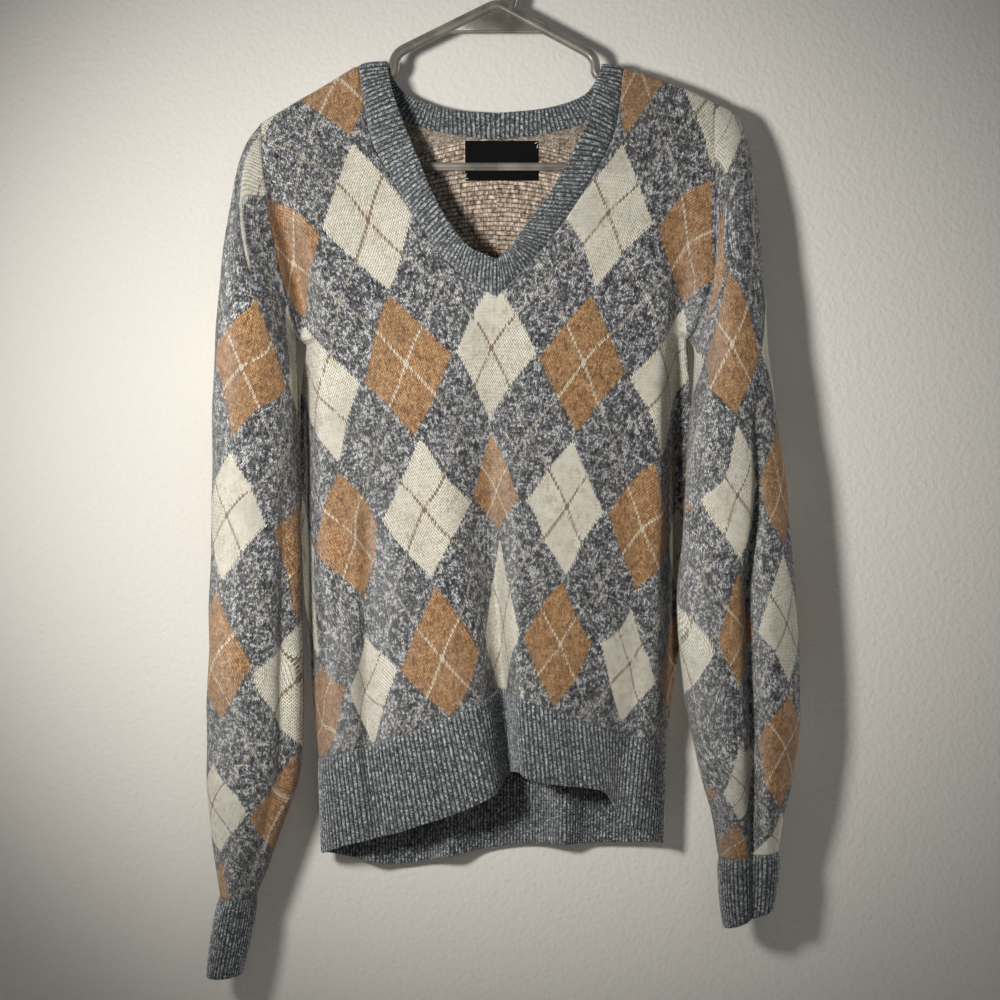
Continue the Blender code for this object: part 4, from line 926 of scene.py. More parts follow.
def rib_piece(name, rows, normals, wall, closed, outward, fade, material, tall):
    """Knitted 1x1 rib as one closed profile carried along its columns.

    Rows are the plain outside from the seam to the free edge. Each column is raised by
    fade(row) * RIB_HEIGHT * (1 - |2 u - 1| ** RIB_CURVE), u being its place between two troughs. The inside
    follows at RIB_INSIDE of it, one wall in. The free edge is a half circle from the outside to the inside.
    """
    count, columns = rows.shape[:2]
    u = (np.arange(columns) / RIB_STEPS) % 1
    wave = (1 - np.abs(2 * u - 1) ** RIB_CURVE)[None, :] * fade[:, None] * RIB_HEIGHT
    outside = rows + normals * wave[..., None]
    inside = rows + normals * (RIB_INSIDE * wave - wall)[..., None]
    turn = (np.arange(1, EDGE_STEPS) / EDGE_STEPS * math.pi)[:, None, None]
    near, far = outside[-1], inside[-1]
    down = unit(rows[-1] - rows[-2]) * np.linalg.norm(near - far, axis=1)[:, None] / 2
    edge = (near + far) / 2 + (near - far) / 2 * np.cos(turn) + down * np.sin(turn)
    profile = np.concatenate([outside, edge, inside[::-1]])
    length = np.concatenate([np.linspace(0, tall, count), tall + np.arange(1, EDGE_STEPS) * EDGE_STEP_LENGTH,
                             np.linspace(3 * tall, 2 * tall, count)])
    total = len(profile)
    wide = columns + 1 if closed else columns
    ribs = np.broadcast_to(np.arange(wide) / RIB_STEPS, (total + 1, wide))
    tall_map = np.broadcast_to(np.append(length, length[0])[:, None] / COURSE, (total + 1, wide))
    place = np.stack([ribs, tall_map], axis=2).reshape(-1, 2)
    open_quads = grid_quads(total + 1, wide)
    quads = open_quads // wide % total * columns + open_quads % wide % columns
    corner = place[open_quads]
    if not outward:
        quads, corner = quads[:, ::-1], corner[:, ::-1]
    faces, maps = [quads], [corner.reshape(-1, 2)]
    half = total // 2
    if not closed:
        for end, turned in ((0, outward), (columns - 1, not outward)):
            ring = np.arange(total) * columns + end
            near, far = ring[:half], ring[::-1][:half]
            closing = [np.stack([near[:-1], near[1:], far[1:], far[:-1]], axis=1)]
            if total % 2:
                closing.append(ring[None, half - 1:half + 2])
            for block in closing:
                faces.append(block[:, ::-1] if turned else block)
                maps.append(np.zeros((block.size, 2)))
    maps = {"stitches": np.concatenate(maps)}
    return make_piece(name, profile.reshape(-1, 3), faces, maps, None, [material])


# Each rib: rows from its seam to its free edge, and its depth on the cloth
HEM_ROWS, HEM_DEPTH = 15, 80
CUFF_ROWS, CUFF_DEPTH = 17, 70
BAND_ROWS, BAND_DEPTH = 10, 27
# How soon the ridges rise from the seam, and how soon the cloth takes the rib's own direction, in 1 / share
RIDGE_RISE, BAND_RISE = 9, 5
SEAM_BLEND, BAND_BLEND = 6, 3
BAND_FIRST_RIDGE = 0.35
CUFF_BOW, BAND_BOW = 1.6, 0.9


def hem_line(side, front):
    """Lower edge of half the hem: x from the valley to the side, z by table, y by the panel's section."""
    side_x, side_y, _ = HEM_SIDE_LEFT if side < 0 else HEM_SIDE_RIGHT
    start = HEM_VALLEY_X if front else 0
    t = 1 - (1 - np.linspace(0, 1, LINE_POINTS)) ** 2
    x = start + (side_x - start) * t
    z = follow(HEM_FRONT if front else HEM_BACK, x)[:, 0]
    y = panel_depth(x, z, side_x, side_y, HEM_CREST_FRONT if front else HEM_CREST_BACK, front)
    return np.stack([x, y, z], axis=1)


def hem_rib(name, panel, front, material):
    """Hem rib under a panel, from the panel's foot to the hem."""
    foot, foot_normals = panel["points"][panel["foot"]], panel["normals"][panel["foot"]]
    shares = np.linspace(0, 1, HEM_RIBS_PER_HALF * RIB_STEPS + 1)
    halves = slice(None, PANEL_COLUMNS + 1), slice(PANEL_COLUMNS, None)

    def both(values):
        left, right = (reread(foot[half], values[half], shares) for half in halves)
        return np.concatenate([left, right[1:]])

    ends = [hem_line(side, front) for side in (-1, 1)]
    left, right = (reread(line, line, shares) for line in ends)
    bottom = np.concatenate([left[::-1], right[1:]])
    top, top_normals = both(foot), unit(both(foot_normals))
    rows, normals, steps = rib_rows(top, bottom, top_normals, HEM_ROWS, SEAM_BLEND, False, not front)
    normals[:, 0], normals[:, -1] = (-1, 0, 0), (1, 0, 0)
    rows[:, [0, -1], 1] += -VISUAL_GAP if front else VISUAL_GAP
    rows[0] += unit(rows[1] - rows[0]) * VISUAL_GAP / 2
    fade = np.clip(steps * RIDGE_RISE, 0, 1)
    return rib_piece(name, rows, normals, WALL, False, not front, fade, material, HEM_DEPTH)


def cuff_rib(name, sleeve, side, material):
    """Cuff rib under a sleeve, from its last ring to the folded ring of its end, bowed out between them."""
    ring, ring_normals = (np.vstack([sleeve[key][sleeve["foot"]], sleeve[key][sleeve["foot"][:1]]])
                          for key in ("points", "normals"))
    columns = CUFF_RIBS * RIB_STEPS
    shares = np.arange(columns) / columns
    top, top_normals = reread(ring, ring, shares), unit(reread(ring, ring_normals, shares))
    angles = np.linspace(0, 2 * math.pi, LINE_POINTS + 1)[None]
    end = ring_shape([CUFF_RIGHT_END if side < 0 else CUFF_LEFT_END], angles)
    end = fold_rings(end, angles, np.array([1.0]), SLEEVE_FOLDS_RIGHT if side < 0 else SLEEVE_FOLDS_LEFT)
    bottom = spread(end, shares)[0]
    bow = unit((top + bottom) / 2 - (top + bottom).mean(axis=0) / 2) * CUFF_BOW
    rows, normals, steps = rib_rows(top, bottom, top_normals, CUFF_ROWS, SEAM_BLEND, True, side < 0, bow)
    rows[0] += unit(rows[1] - rows[0]) * VISUAL_GAP / 2
    fade = np.clip(steps * RIDGE_RISE, 0, 1)
    return rib_piece(name, rows, normals, WALL, True, side < 0, fade, material, CUFF_DEPTH)


def neckband_rib(front, back, material):
    """Neckband: a closed loop of ribs from the point of the V over the left shoulder and round the back."""
    count, columns = len(FINE_ROWS), PANEL_COLUMNS + 1
    quarters = (
        (front, 0, NECK_FRONT_LEFT, BAND_FRONT_LEFT, 1), (back, 0, NECK_BACK_LEFT, BAND_BACK_LEFT, -1),
        (back, 1, NECK_BACK_RIGHT, BAND_BACK_RIGHT, 1), (front, 1, NECK_FRONT_RIGHT, BAND_FRONT_RIGHT, -1),
    )
    seam, seam_normals, free = [], [], []
    for panel, number, knots, band, way in quarters:
        chosen = FINE_ROWS >= knots[0][0] - CLOSE
        index = panel["place"][number * count * columns + np.arange(count)[chosen] * columns]
        table = np.hstack([np.array(knots, float)[:, :1], np.array(band, float)])
        lines = panel["points"][index], panel["normals"][index], follow(table, FINE_ROWS[chosen])
        for kept, line in zip((seam, seam_normals, free), lines):
            kept.append(line[::way][:-1])
    seam, seam_normals, free = (np.concatenate(kept + [kept[0][:1]]) for kept in (seam, seam_normals, free))
    total = BAND_RIBS * RIB_STEPS
    shares = np.arange(total) / total
    low, low_normals = reread(seam, seam, shares), unit(reread(seam, seam_normals, shares))
    high = reread(seam, free, shares)
    rows, normals, steps = rib_rows(low, high, low_normals, BAND_ROWS, BAND_BLEND, True, False)
    lift = BAND_BOW * np.sin(steps * math.pi) - SEAM_DIP * np.clip(1 - steps * SEAM_BLEND, 0, 1)
    rows = rows + normals * lift[:, None, None]
    rows[0] += unit(rows[1] - rows[0]) * VISUAL_GAP / 2
    fade = BAND_FIRST_RIDGE + (1 - BAND_FIRST_RIDGE) * np.clip(steps * BAND_RISE, 0, 1)
    return rib_piece("neckband_ribbed", rows, normals, BAND_WALL, True, False, fade, material, BAND_DEPTH)


# ---------------------------------------------------------------- label

LABEL_LEFT, LABEL_RIGHT, LABEL_TOP, LABEL_BOTTOM = -27, 35, -172.5, -206
LABEL_COLUMNS, LABEL_ROWS = 48, 26
# Space to the cloth, the label's thickness, its folded side edges, and how much thicker they are
LABEL_GAP = 0.5
LABEL_THICKNESS = 0.49
LABEL_FOLD_WIDTH = 3.2
LABEL_FOLD_THICKNESS = 0.2
# The cloth near the label, as x and z limits, and the distance over which its depth is evened out
LABEL_CLOTH_X, LABEL_CLOTH_Z = (-60, 60), (-230, -150)
LABEL_EVENING = 4

# Tacking stitches: x, z and the angle of each, and their length, radius and bow
TACKS = ((33.0, -174.4, 20), (34.2, -177.2, 75), (-25.8, -204.4, 10), (-26.4, -201.6, 80))
TACK_LENGTH = 3.4
TACK_RADIUS = 0.42
TACK_BOW = 0.7
TACK_GAP = 0.15
TACK_RINGS, TACK_SIDES = 9, 8
TACK_TIP = 0.02


def label_piece(back, material):
    """Woven label on the inside of the back, and its front face.

    y is the mean of the cloth's inner points, weighted exp(-(distance / LABEL_EVENING) ** 2), less the gap.
    """
    across = np.linspace(LABEL_LEFT, LABEL_RIGHT, LABEL_COLUMNS)
    down = np.linspace(LABEL_BOTTOM, LABEL_TOP, LABEL_ROWS)
    x, z = np.meshgrid(across, down)
    inner = back["points"] + back["inward"]
    low, high = np.array([LABEL_CLOTH_X, LABEL_CLOTH_Z]).T
    near = inner[np.all((inner[:, [0, 2]] > low) & (inner[:, [0, 2]] < high), axis=1)]
    away = (x.reshape(-1, 1) - near[:, 0]) ** 2 + (z.reshape(-1, 1) - near[:, 2]) ** 2
    weight = np.exp(-away / LABEL_EVENING ** 2)
    y = (weight @ near[:, 1] / weight.sum(axis=1)).reshape(x.shape) - LABEL_GAP
    folded = np.minimum(x - LABEL_LEFT, LABEL_RIGHT - x) < LABEL_FOLD_WIDTH
    front = y - LABEL_THICKNESS - LABEL_FOLD_THICKNESS * folded
    points = np.stack([np.stack([x, face, z], axis=2) for face in (front, y)]).reshape(-1, 3)
    quads = grid_quads(LABEL_ROWS, LABEL_COLUMNS)
    rims = rim_quads(open_edges(quads, x.size), x.size)
    shares = (x - LABEL_LEFT) / (LABEL_RIGHT - LABEL_LEFT), (z - LABEL_BOTTOM) / (LABEL_TOP - LABEL_BOTTOM)
    flat = np.stack(shares, axis=2).reshape(-1, 2)
    every = np.concatenate([quads, quads[:, ::-1] + x.size, rims])
    maps = {"label": flat[every % x.size].reshape(-1, 2)}
    return make_piece("label_woven", points, [every], maps, None, [material]), (across, down, front)


def thread_tacks(face, material):
    """White tacking stitches at two corners of the label: short thick threads, each bowed over the edge."""
    across, down, front = face
    s = np.linspace(0, 1, TACK_RINGS)[:, None]
    turn = np.arange(TACK_SIDES)[None, :, None] / TACK_SIDES * 2 * math.pi
    radius = TACK_RADIUS * np.sqrt(np.clip(1 - (2 * s - 1) ** 4, TACK_TIP, 1))[..., None]
    outward = np.array([0, 1, 0])
    quads, size = wrapped_quads(TACK_RINGS, TACK_SIDES)[:, ::-1], TACK_RINGS * TACK_SIDES
    cap = np.arange(TACK_SIDES)[None]
    points, faces, caps, tips = [], [], [], []
    for number, (x, z, angle) in enumerate(TACKS):
        y = front[np.abs(down - z).argmin(), np.abs(across - x).argmin()] - TACK_GAP
        way = np.array([math.cos(math.radians(angle)), 0, math.sin(math.radians(angle))])
        line = np.array([x, y, z]) + (s - 0.5) * TACK_LENGTH * way - outward * TACK_BOW * np.sin(s * math.pi)
        ring = (np.cos(turn) * np.cross(way, outward) + np.sin(turn) * outward) * radius
        points.append((line[:, None] + ring).reshape(-1, 3))
        faces.append(quads + number * size)
        caps.append(cap + number * size)
        tips.append(cap[:, ::-1] + (number + 1) * size - TACK_SIDES)
    faces = [np.concatenate(faces)] + caps + tips
    return make_piece("label_tacks", np.concatenate(points), faces, None, None, [material])


# ---------------------------------------------------------------- hanger

# Outline of the hanger's loop: x, z and the radius of each corner
HANGER_LOOP = (
    (0, -59, 6), (-86, -101.5, 10), (-86.5, -119, 7), (-118, -122.5, 12), (-190, -165.5, 12),
    (-186, -196, 10), (0, -196, 0), (182, -196, 10), (188, -154.5, 12), (116, -122, 12),
    (82.5, -120, 7), (82, -103, 10),
)
# A rounded corner takes at most 1 / CORNER_LIMIT of the side next to it
CORNER_STEPS = 14
CORNER_LIMIT = 2.2
SAME_PLACE = 0.01
LOOP_STEP = 2.2
# Section of an arm: half its width, a round bead and a thinner flange beside it. It is scaled down to the
# bar's over a height above the bar.
ARM_HALF_WIDTH = 4.4
ARM_POINTS = 21
BEAD_RADIUS, BEAD_MIDDLE = 3.7, -0.75
FLANGE_THICKNESS, FLANGE_MIDDLE, FLANGE_HALF_WIDTH, FLANGE_START = 2.1, 1.2, 3.2, 0.5
FLANGE_CORNER = 6
BAR_RADIUS = 3.4
BAR_HEIGHT = -196
BAR_FADE_TOP, BAR_FADE = 12, 10
# Hook and stem: x and z up the stem, then an arc about the crown's middle in degrees
HOOK_INNER_RADIUS = 20
HOOK_RADIUS = 3.6
HOOK_TURN = 205
HOOK_STEP = 2.0
HOOK_SIDES = 20
STEM = ((11, -66), (15, -50), (19.8, -40), (23.2, -30))
STEM_POINTS, ARC_POINTS = 40, 60
# Web below the stem, and the lip along its foot
WEB_OUTLINE = ((-46, -82), (40, -82), (13, -66), (14.5, -50), (9, -50), (0, -58))
WEB_THICKNESS = 2.6
WEB_BEVEL = 0.5
LIP = ((-46.0, -82.6), (40.0, -82.6))
LIP_RADIUS = 1.7
LIP_SIDES = 12
# Least share of the radius at a rounded tip, squared
TIP_LEAST = 0.01


def rounded_loop(corners, steps):
    """Closed line in x and z with each corner rounded by (1 - t)^2 start + 2 t (1 - t) corner + t^2 end."""
    places, radii = np.array(corners, float)[:, None, :2], np.array(corners, float)[:, None, 2:]
    ends = []
    for turn in (1, -1):
        way = np.roll(places, turn, axis=0) - places
        reach = np.minimum(radii, np.linalg.norm(way, axis=2, keepdims=True) / CORNER_LIMIT)
        ends.append(places + reach * unit(way))
    t = np.linspace(0, 1, steps)[None, :, None]
    line = ((1 - t) ** 2 * ends[0] + 2 * t * (1 - t) * places + t * t * ends[1]).reshape(-1, 2)
    return line[np.linalg.norm(line - np.roll(line, 1, axis=0), axis=1) > SAME_PLACE]


def walked_line(line):
    """Length walked along a line in x and z, from 0 at its first point."""
    return np.concatenate([[0], np.cumsum(np.linalg.norm(np.diff(line, axis=0), axis=1))])


def even_line(line, spacing, closed):
    """The line read again at even steps of its length."""
    full = np.concatenate([line, line[:1]]) if closed else line
    at = walked_line(full)
    count = int(round(at[-1] / spacing))
    places = np.arange(count) / count * at[-1] if closed else np.linspace(0, at[-1], count + 1)
    return np.stack([np.interp(places, at, column) for column in full.T], axis=1)


def carried(line, section, scale, closed):
    """Points and quads of a section (sideways, in depth) carried along a line in x and z, and scaled."""
    along = np.roll(line, -1, axis=0) - np.roll(line, 1, axis=0) if closed else np.gradient(line, axis=0)
    along = unit(along)
    sideways, depth = section.T[:, None] * scale
    x = line[:, :1] + along[:, 1:] * sideways
    z = line[:, 1:] - along[:, :1] * sideways
    points = np.stack([x, depth, z], axis=2).reshape(-1, 3)
    return points, wrapped_quads(len(line), len(section), closed)


def turned_outwards(points, faces):
    """The faces of a closed shell, turned round if its volume, the sum of a . (b x c) / 6, is negative."""
    total = 0.0
    for block in faces:
        for k in range(1, block.shape[1] - 1):
            total += np.sum(points[block[:, 0]] * np.cross(points[block[:, k]], points[block[:, k + 1]]))
    return faces if total > 0 else [block[:, ::-1] for block in faces]


def ridged_section():
    """Section of an arm: the bead, with the flange on the outside of the loop."""
    u = -ARM_HALF_WIDTH * np.cos(np.linspace(0, math.pi, ARM_POINTS))
    bead = np.sqrt(np.clip(BEAD_RADIUS ** 2 - (u - BEAD_MIDDLE) ** 2, 0, None))
    beside = np.abs((u - FLANGE_MIDDLE) / FLANGE_HALF_WIDTH)
    flange = FLANGE_THICKNESS * np.sqrt(np.clip(1 - beside ** FLANGE_CORNER, 0, 1)) * (u > FLANGE_START)
    depth = np.maximum(bead, flange)
    upper, lower = np.stack([u, depth], axis=1), np.stack([u, -depth], axis=1)[::-1]
    return np.concatenate([upper, lower[1:-1]])


def closed_bar(line, radius, sides, share):
    """A round bar along an open line with flat ends, its radius times the share at each place."""
    turn = np.arange(sides) / sides * 2 * math.pi
    section = np.stack([np.cos(turn), np.sin(turn)], axis=1) * radius
    points, quads = carried(line, section, share, False)
    first = np.arange(sides)[None]
    return points, [quads, first[:, ::-1], first + (len(line) - 1) * sides]


def web_plate():
    """The web: its outline at the front and the back, drawn in at both faces for bevelled edges."""
    outline = np.array(WEB_OUTLINE, float)
    out = outline - outline.mean(axis=0)
    small = outline - out * WEB_BEVEL / np.linalg.norm(out, axis=1, keepdims=True)
    face, edge = WEB_THICKNESS / 2, WEB_THICKNESS / 2 - WEB_BEVEL
    layers = [np.insert(flat, 1, y, axis=1)
              for flat, y in ((small, -face), (outline, -edge), (outline, edge), (small, face))]
    size = len(outline)
    first = np.arange(size)[None]
    return np.concatenate(layers), [wrapped_quads(4, size), first[:, ::-1], first + 3 * size]


def hook_line():
    """Middle line of the stem and the hook, in even steps."""
    radius = HOOK_INNER_RADIUS + HOOK_RADIUS
    turns = np.radians(np.linspace(0, HOOK_TURN, ARC_POINTS))
    arc = np.stack([radius * np.cos(turns), radius * np.sin(turns) - HOOK_INNER_RADIUS], axis=1)
    knots = np.concatenate([STEM, arc[:1]])
    walked = walked_line(knots)
    smooth = follow(np.column_stack([walked, knots]), np.linspace(0, walked[-1], STEM_POINTS))
    return even_line(np.concatenate([smooth[:-1], arc]), HOOK_STEP, False)


def hanger_piece(material):
    """Hanger as moulded: ridged arms with the bar, stem with the hook, web and lip, as closed shells."""
    loop = even_line(rounded_loop(HANGER_LOOP, CORNER_STEPS), LOOP_STEP, True)
    on_bar = np.clip((BAR_HEIGHT + BAR_FADE_TOP - loop[:, 1:]) / BAR_FADE, 0, 1)
    points, quads = carried(loop, ridged_section(), 1 - on_bar * (1 - BAR_RADIUS / ARM_HALF_WIDTH), True)
    hook = hook_line()
    away = np.arange(len(hook))[::-1, None] * HOOK_STEP
    tip = np.sqrt(np.clip(1 - np.clip(1 - away / HOOK_RADIUS, 0, 1) ** 2, TIP_LEAST, 1))
    lip = even_line(np.array(LIP), HOOK_STEP, False)
    shells = ((points, [quads]), closed_bar(hook, HOOK_RADIUS, HOOK_SIDES, tip), web_plate(),
              closed_bar(lip, LIP_RADIUS, LIP_SIDES, np.ones((len(lip), 1))))
    every, faces, start = [], [], 0
    for points, blocks in shells:
        faces += [block + start for block in turned_outwards(points, blocks)]
        every.append(points)
        start += len(points)
    return make_piece("hanger_moulded", np.concatenate(every), faces, None, None, [material])


# ---------------------------------------------------------------- finishes


def srgb(red, green, blue):
    """Linear colour of an sRGB colour of 0 to 255."""
    part = np.array([red, green, blue]) / 255
    return (*np.where(part <= 0.04045, part / 12.92, ((part + 0.055) / 1.055) ** 2.4).tolist(), 1)


class Signal:
    """Output of a node. Sums and products of signals, or of signals and numbers, are Math nodes."""

    def __init__(self, socket):
        self.socket = socket

    def __add__(self, other):
        return calc("ADD", self, other)

    def __sub__(self, other):
        return calc("SUBTRACT", self, other)

    def __rsub__(self, other):
        return calc("SUBTRACT", other, self)

    def __mul__(self, other):
        return calc("MULTIPLY", self, other)

    def __truediv__(self, other):
        return calc("DIVIDE", self, other)

    def __abs__(self):
        return calc("ABSOLUTE", self)


def set_inputs(node, values):
    """Sets a node's inputs to numbers or links them to signals."""
    for name, value in values.items():
        if isinstance(value, Signal):
            node.id_data.links.new(value.socket, node.inputs[name])
        else:
            node.inputs[name].default_value = value


def new_node(tree, kind, values=None, **settings):
    """Signals of a new node's outputs, by number and by name."""
    node = tree.nodes.new(kind)
    for name, value in settings.items():
        setattr(node, name, value)
    set_inputs(node, values or {})
    outputs = [Signal(socket) for socket in node.outputs]
    return dict(enumerate(outputs)) | {signal.socket.name: signal for signal in outputs}


def tree_of(*values):
    """Node tree of the first signal among the values."""
    return next(value.socket.id_data for value in values if isinstance(value, Signal))


def calc(operation, *values):
    """Signal of a Math node."""
    return new_node(tree_of(*values), "ShaderNodeMath", dict(enumerate(values)), operation=operation)[0]


def split(signal):
    """The three parts of a place."""
    parts = new_node(tree_of(signal), "ShaderNodeSeparateXYZ", {0: signal})
    return parts[0], parts[1], parts[2]


def blended(factor, first, second):
    """Colour between the first at factor 0 and the second at factor 1."""
    return new_node(tree_of(factor), "ShaderNodeMix", {0: factor, 6: first, 7: second}, data_type="RGBA")[2]


def ramped(value, low, high, to_low=0.0, to_high=1.0):
    """Smooth step from to_low at low up to to_high at high."""
    return new_node(tree_of(value), "ShaderNodeMapRange", {0: value, 1: low, 2: high, 3: to_low, 4: to_high},
                    interpolation_type="SMOOTHSTEP")[0]


def noisy(place, scale, detail=2.0, rough=0.5):
    """Factor of a Noise node."""
    return new_node(tree_of(place), "ShaderNodeTexNoise",
                    {"Vector": place, "Scale": scale, "Detail": detail, "Roughness": rough})[0]


def scaled(colour, share):
    """Colour times a number."""
    return new_node(tree_of(colour), "ShaderNodeVectorMath", {0: colour, 3: share}, operation="SCALE")[0]


def new_group(name, inputs, outputs):
    """Shader node group with its named inputs and outputs: its tree, its input signals and its end node."""
    tree = bpy.data.node_groups.new(name, "ShaderNodeTree")
    for label, kind, value in inputs:
        socket = tree.interface.new_socket(name=label, in_out="INPUT", socket_type="NodeSocket" + kind)
        if value is not None:
            socket.default_value = value
    for label, kind in outputs:
        tree.interface.new_socket(name=label, in_out="OUTPUT", socket_type="NodeSocket" + kind)
    return tree, new_node(tree, "NodeGroupInput"), tree.nodes.new("NodeGroupOutput")


# Jersey stitches: how far a leg leans over half a wale in courses, the random numbers' own slice, and how
# much lower a leg is at its sides
STITCH_LEAN = 0.8
STITCH_SLICE = 0.37
LEG_SIDES = 0.6


def stitch_group():
    """Jersey stitches: V-shaped legs in wales and courses, each with its own two random numbers.

    With a = 2 |wale - middle of the wale| and p = the fraction of (course + lean * a), the yarn's height is
    (1 - (2 p - 1)^2) * (1 - LEG_SIDES * (2 a - 1)^2). The shifts lead to the middle of the stitch.
    """
    tree, enter, leave = new_group(
        "knit stitches", [("Stitches", "Vector", None), ("Lean", "Float", STITCH_LEAN)],
        [("Height", "Float"), ("Random", "Float"), ("Second Random", "Float"), ("Wale Shift", "Float"),
         ("Course Shift", "Float")])
    wale, course, _ = split(enter["Stitches"])
    a = abs(calc("FRACT", wale) - 0.5) * 2.0
    leaned = course + a * enter["Lean"]
    leg = 1.0 - calc("POWER", abs(calc("FRACT", leaned) * 2.0 - 1.0), 2.0)
    sides = 1.0 - calc("POWER", abs(a * 2.0 - 1.0), 2.0) * LEG_SIDES
    limb, row = calc("FLOOR", wale * 2.0), calc("FLOOR", leaned)
    cell = new_node(tree, "ShaderNodeCombineXYZ", {0: limb, 1: row, 2: STITCH_SLICE})[0]
    chance = new_node(tree, "ShaderNodeTexWhiteNoise", {0: cell}, noise_dimensions="3D")
    set_inputs(leave, {
        "Height": leg * sides, "Random": chance[0],
        "Second Random": new_node(tree, "ShaderNodeSeparateColor", {0: chance[1]})[1],
        "Wale Shift": calc("FLOOR", wale) + 0.5 - wale, "Course Shift": row + 0.5 - leaned,
    })
    return tree


# Half the diagonal of a diamond in units
DIAMOND_SIZE = 0.47


def diamond_group():
    """Argyle diamonds, stitch by stitch.

    A stitch is in a diamond where |u - i| + |v - j| < size, i and j being the nearest whole numbers to its
    column u and height v. It is cream where i + j is even and tan where it is odd. A raker line, one stitch
    wide, runs where u - v or u + v is whole.
    """
    tree, enter, leave = new_group(
        "argyle diamonds", [("Diamonds", "Vector", None), ("Wale Shift", "Float", 0.0),
                            ("Course Shift", "Float", 0.0), ("Size", "Float", DIAMOND_SIZE)],
        [("Tan", "Float"), ("Cream", "Float"), ("Raker", "Float")])
    u, v, _ = split(enter["Diamonds"])
    u, v = u + enter["Wale Shift"] / UNIT_WALES, v + enter["Course Shift"] / UNIT_COURSES
    i, j = calc("ROUND", u), calc("ROUND", v)
    inside = calc("LESS_THAN", abs(u - i) + abs(v - j), enter["Size"])
    tan = inside * calc("FLOORED_MODULO", i + j, 2.0)
    lines = [calc("LESS_THAN", abs(e - calc("ROUND", e)), 0.5 / UNIT_WALES) for e in (u - v, u + v)]
    set_inputs(leave, {"Tan": tan, "Cream": inside - tan, "Raker": calc("MAXIMUM", *lines)})
    return tree


# Marl: scale of its flecks on the jersey and on the ribs, the scale of its blotches to that and their share,
# the spread of both, where the yarn goes from dark to middle and from middle to light, and its clouds
FLECK_SCALE = 440.0
RIB_FLECK_SCALE = 800.0
BLOTCH_SCALE, BLOTCH_SHARE = 0.38, 0.32
FLECK_SPREAD = (0.4, 0.6)
DARK_TO_MIDDLE = (0.12, 0.46)
MIDDLE_TO_LIGHT = (0.54, 0.86)
CLOUD_SCALE = 28.0
CLOUD_SHADE = (0.3, 0.7, 0.92, 1.08)


def marl_group():
    """Marl yarn: fibres of several shades, mixed by each stitch's random number and by fine fibre noise."""
    tree, enter, leave = new_group(
        "marl yarn", [("Place", "Vector", None), ("Random", "Float", 0.5), ("Dark", "Color", None),
                      ("Middle", "Color", None), ("Light", "Color", None), ("Stitch Share", "Float", 0.5),
                      ("Fleck Scale", "Float", FLECK_SCALE)],
        [("Color", "Color"), ("Fibre", "Float")])
    fleck = noisy(enter["Place"], enter["Fleck Scale"], 4.0, 0.75)
    blotch = noisy(enter["Place"], enter["Fleck Scale"] * BLOTCH_SCALE, 2.0, 0.6)
    fibre = ramped(fleck * (1 - BLOTCH_SHARE) + blotch * BLOTCH_SHARE, *FLECK_SPREAD)
    share = enter["Random"] * enter["Stitch Share"] + fibre * (1.0 - enter["Stitch Share"])
    dark = blended(ramped(share, *DARK_TO_MIDDLE), enter["Dark"], enter["Middle"])
    colour = blended(ramped(share, *MIDDLE_TO_LIGHT), dark, enter["Light"])
    cloud = ramped(noisy(enter["Place"], CLOUD_SCALE, 3.0), *CLOUD_SHADE)
    set_inputs(leave, {"Color": scaled(colour, cloud), "Fibre": fibre})
    return tree


# Painted shade in the gaps between stitch legs: the height up to which a gap is shaded, its shade on jersey
# and on ribs; and the fibres' height
GAP_TOP = 0.65
GAP_SHADE, RIB_GAP_SHADE = 0.12, 0.75
FIBRE_HEIGHT = 0.45


def wool_relief_and_gap_shade_group():
    """Painted shade and height of wool from its stitches and its fibre noise: shade is painted into the gaps
    between the legs.
    """
    tree, enter, leave = new_group(
        "wool relief and painted gap shade", [("Color", "Color", None), ("Height", "Float", 0.5), ("Fibre", "Float", 0.5),
                        ("Gap Shade", "Float", GAP_SHADE)],
        [("Color", "Color"), ("Height", "Float")])
    share = ramped(enter["Height"], 0.0, GAP_TOP)
    # painted shade: the colour is darkened where the yarn is low, in the gaps between the legs
    shade = enter["Gap Shade"] + share * (1.0 - enter["Gap Shade"])
    set_inputs(leave, {"Color": scaled(enter["Color"], shade),
                       "Height": enter["Height"] + enter["Fibre"] * FIBRE_HEIGHT})
    return tree


def new_material(name, **fixed):
    """Material, its tree, its Principled shader with its fixed values set, and the place on the object."""
    material = bpy.data.materials.new(name)
    material.use_nodes = True
    tree = material.node_tree
    shader = tree.nodes["Principled BSDF"]
    set_inputs(shader, {label.replace("_", " "): value for label, value in fixed.items()})
    return material, tree, shader, new_node(tree, "ShaderNodeTexCoord")["Object"]


def uv_map(tree, name):
    """Signal of a UV map."""
    return new_node(tree, "ShaderNodeUVMap", uv_map=name)[0]


def finished(shader, colour, height, distance):
    """Feeds a shader its colour and the bump of a height of 0 to 1 over a distance in metres."""
    bump = new_node(shader.id_data, "ShaderNodeBump", {"Height": height, "Distance": distance})[0]
    set_inputs(shader, {"Base Color": colour, "Normal": bump})


GREY_MARL = (srgb(18, 18, 22), srgb(106, 106, 109), srgb(228, 228, 227))
TAN_YARN = (srgb(132, 90, 50), srgb(186, 138, 88), srgb(220, 176, 126))
CREAM_YARN = (srgb(218, 206, 180), srgb(250, 242, 222), srgb(255, 253, 244))
PURL_YARN = (srgb(100, 84, 74), srgb(186, 164, 144), srgb(246, 230, 212))
RIB_MARL = (srgb(30, 37, 42), srgb(106, 114, 119), srgb(224, 229, 231))
RAKER_ON_TAN, RAKER_ON_CREAM = srgb(244, 230, 204), srgb(150, 124, 90)
# Share of a stitch's own shade in each yarn
GREY_SHARE, YARN_SHARE, RIB_SHARE = 0.36, 0.45, 0.3
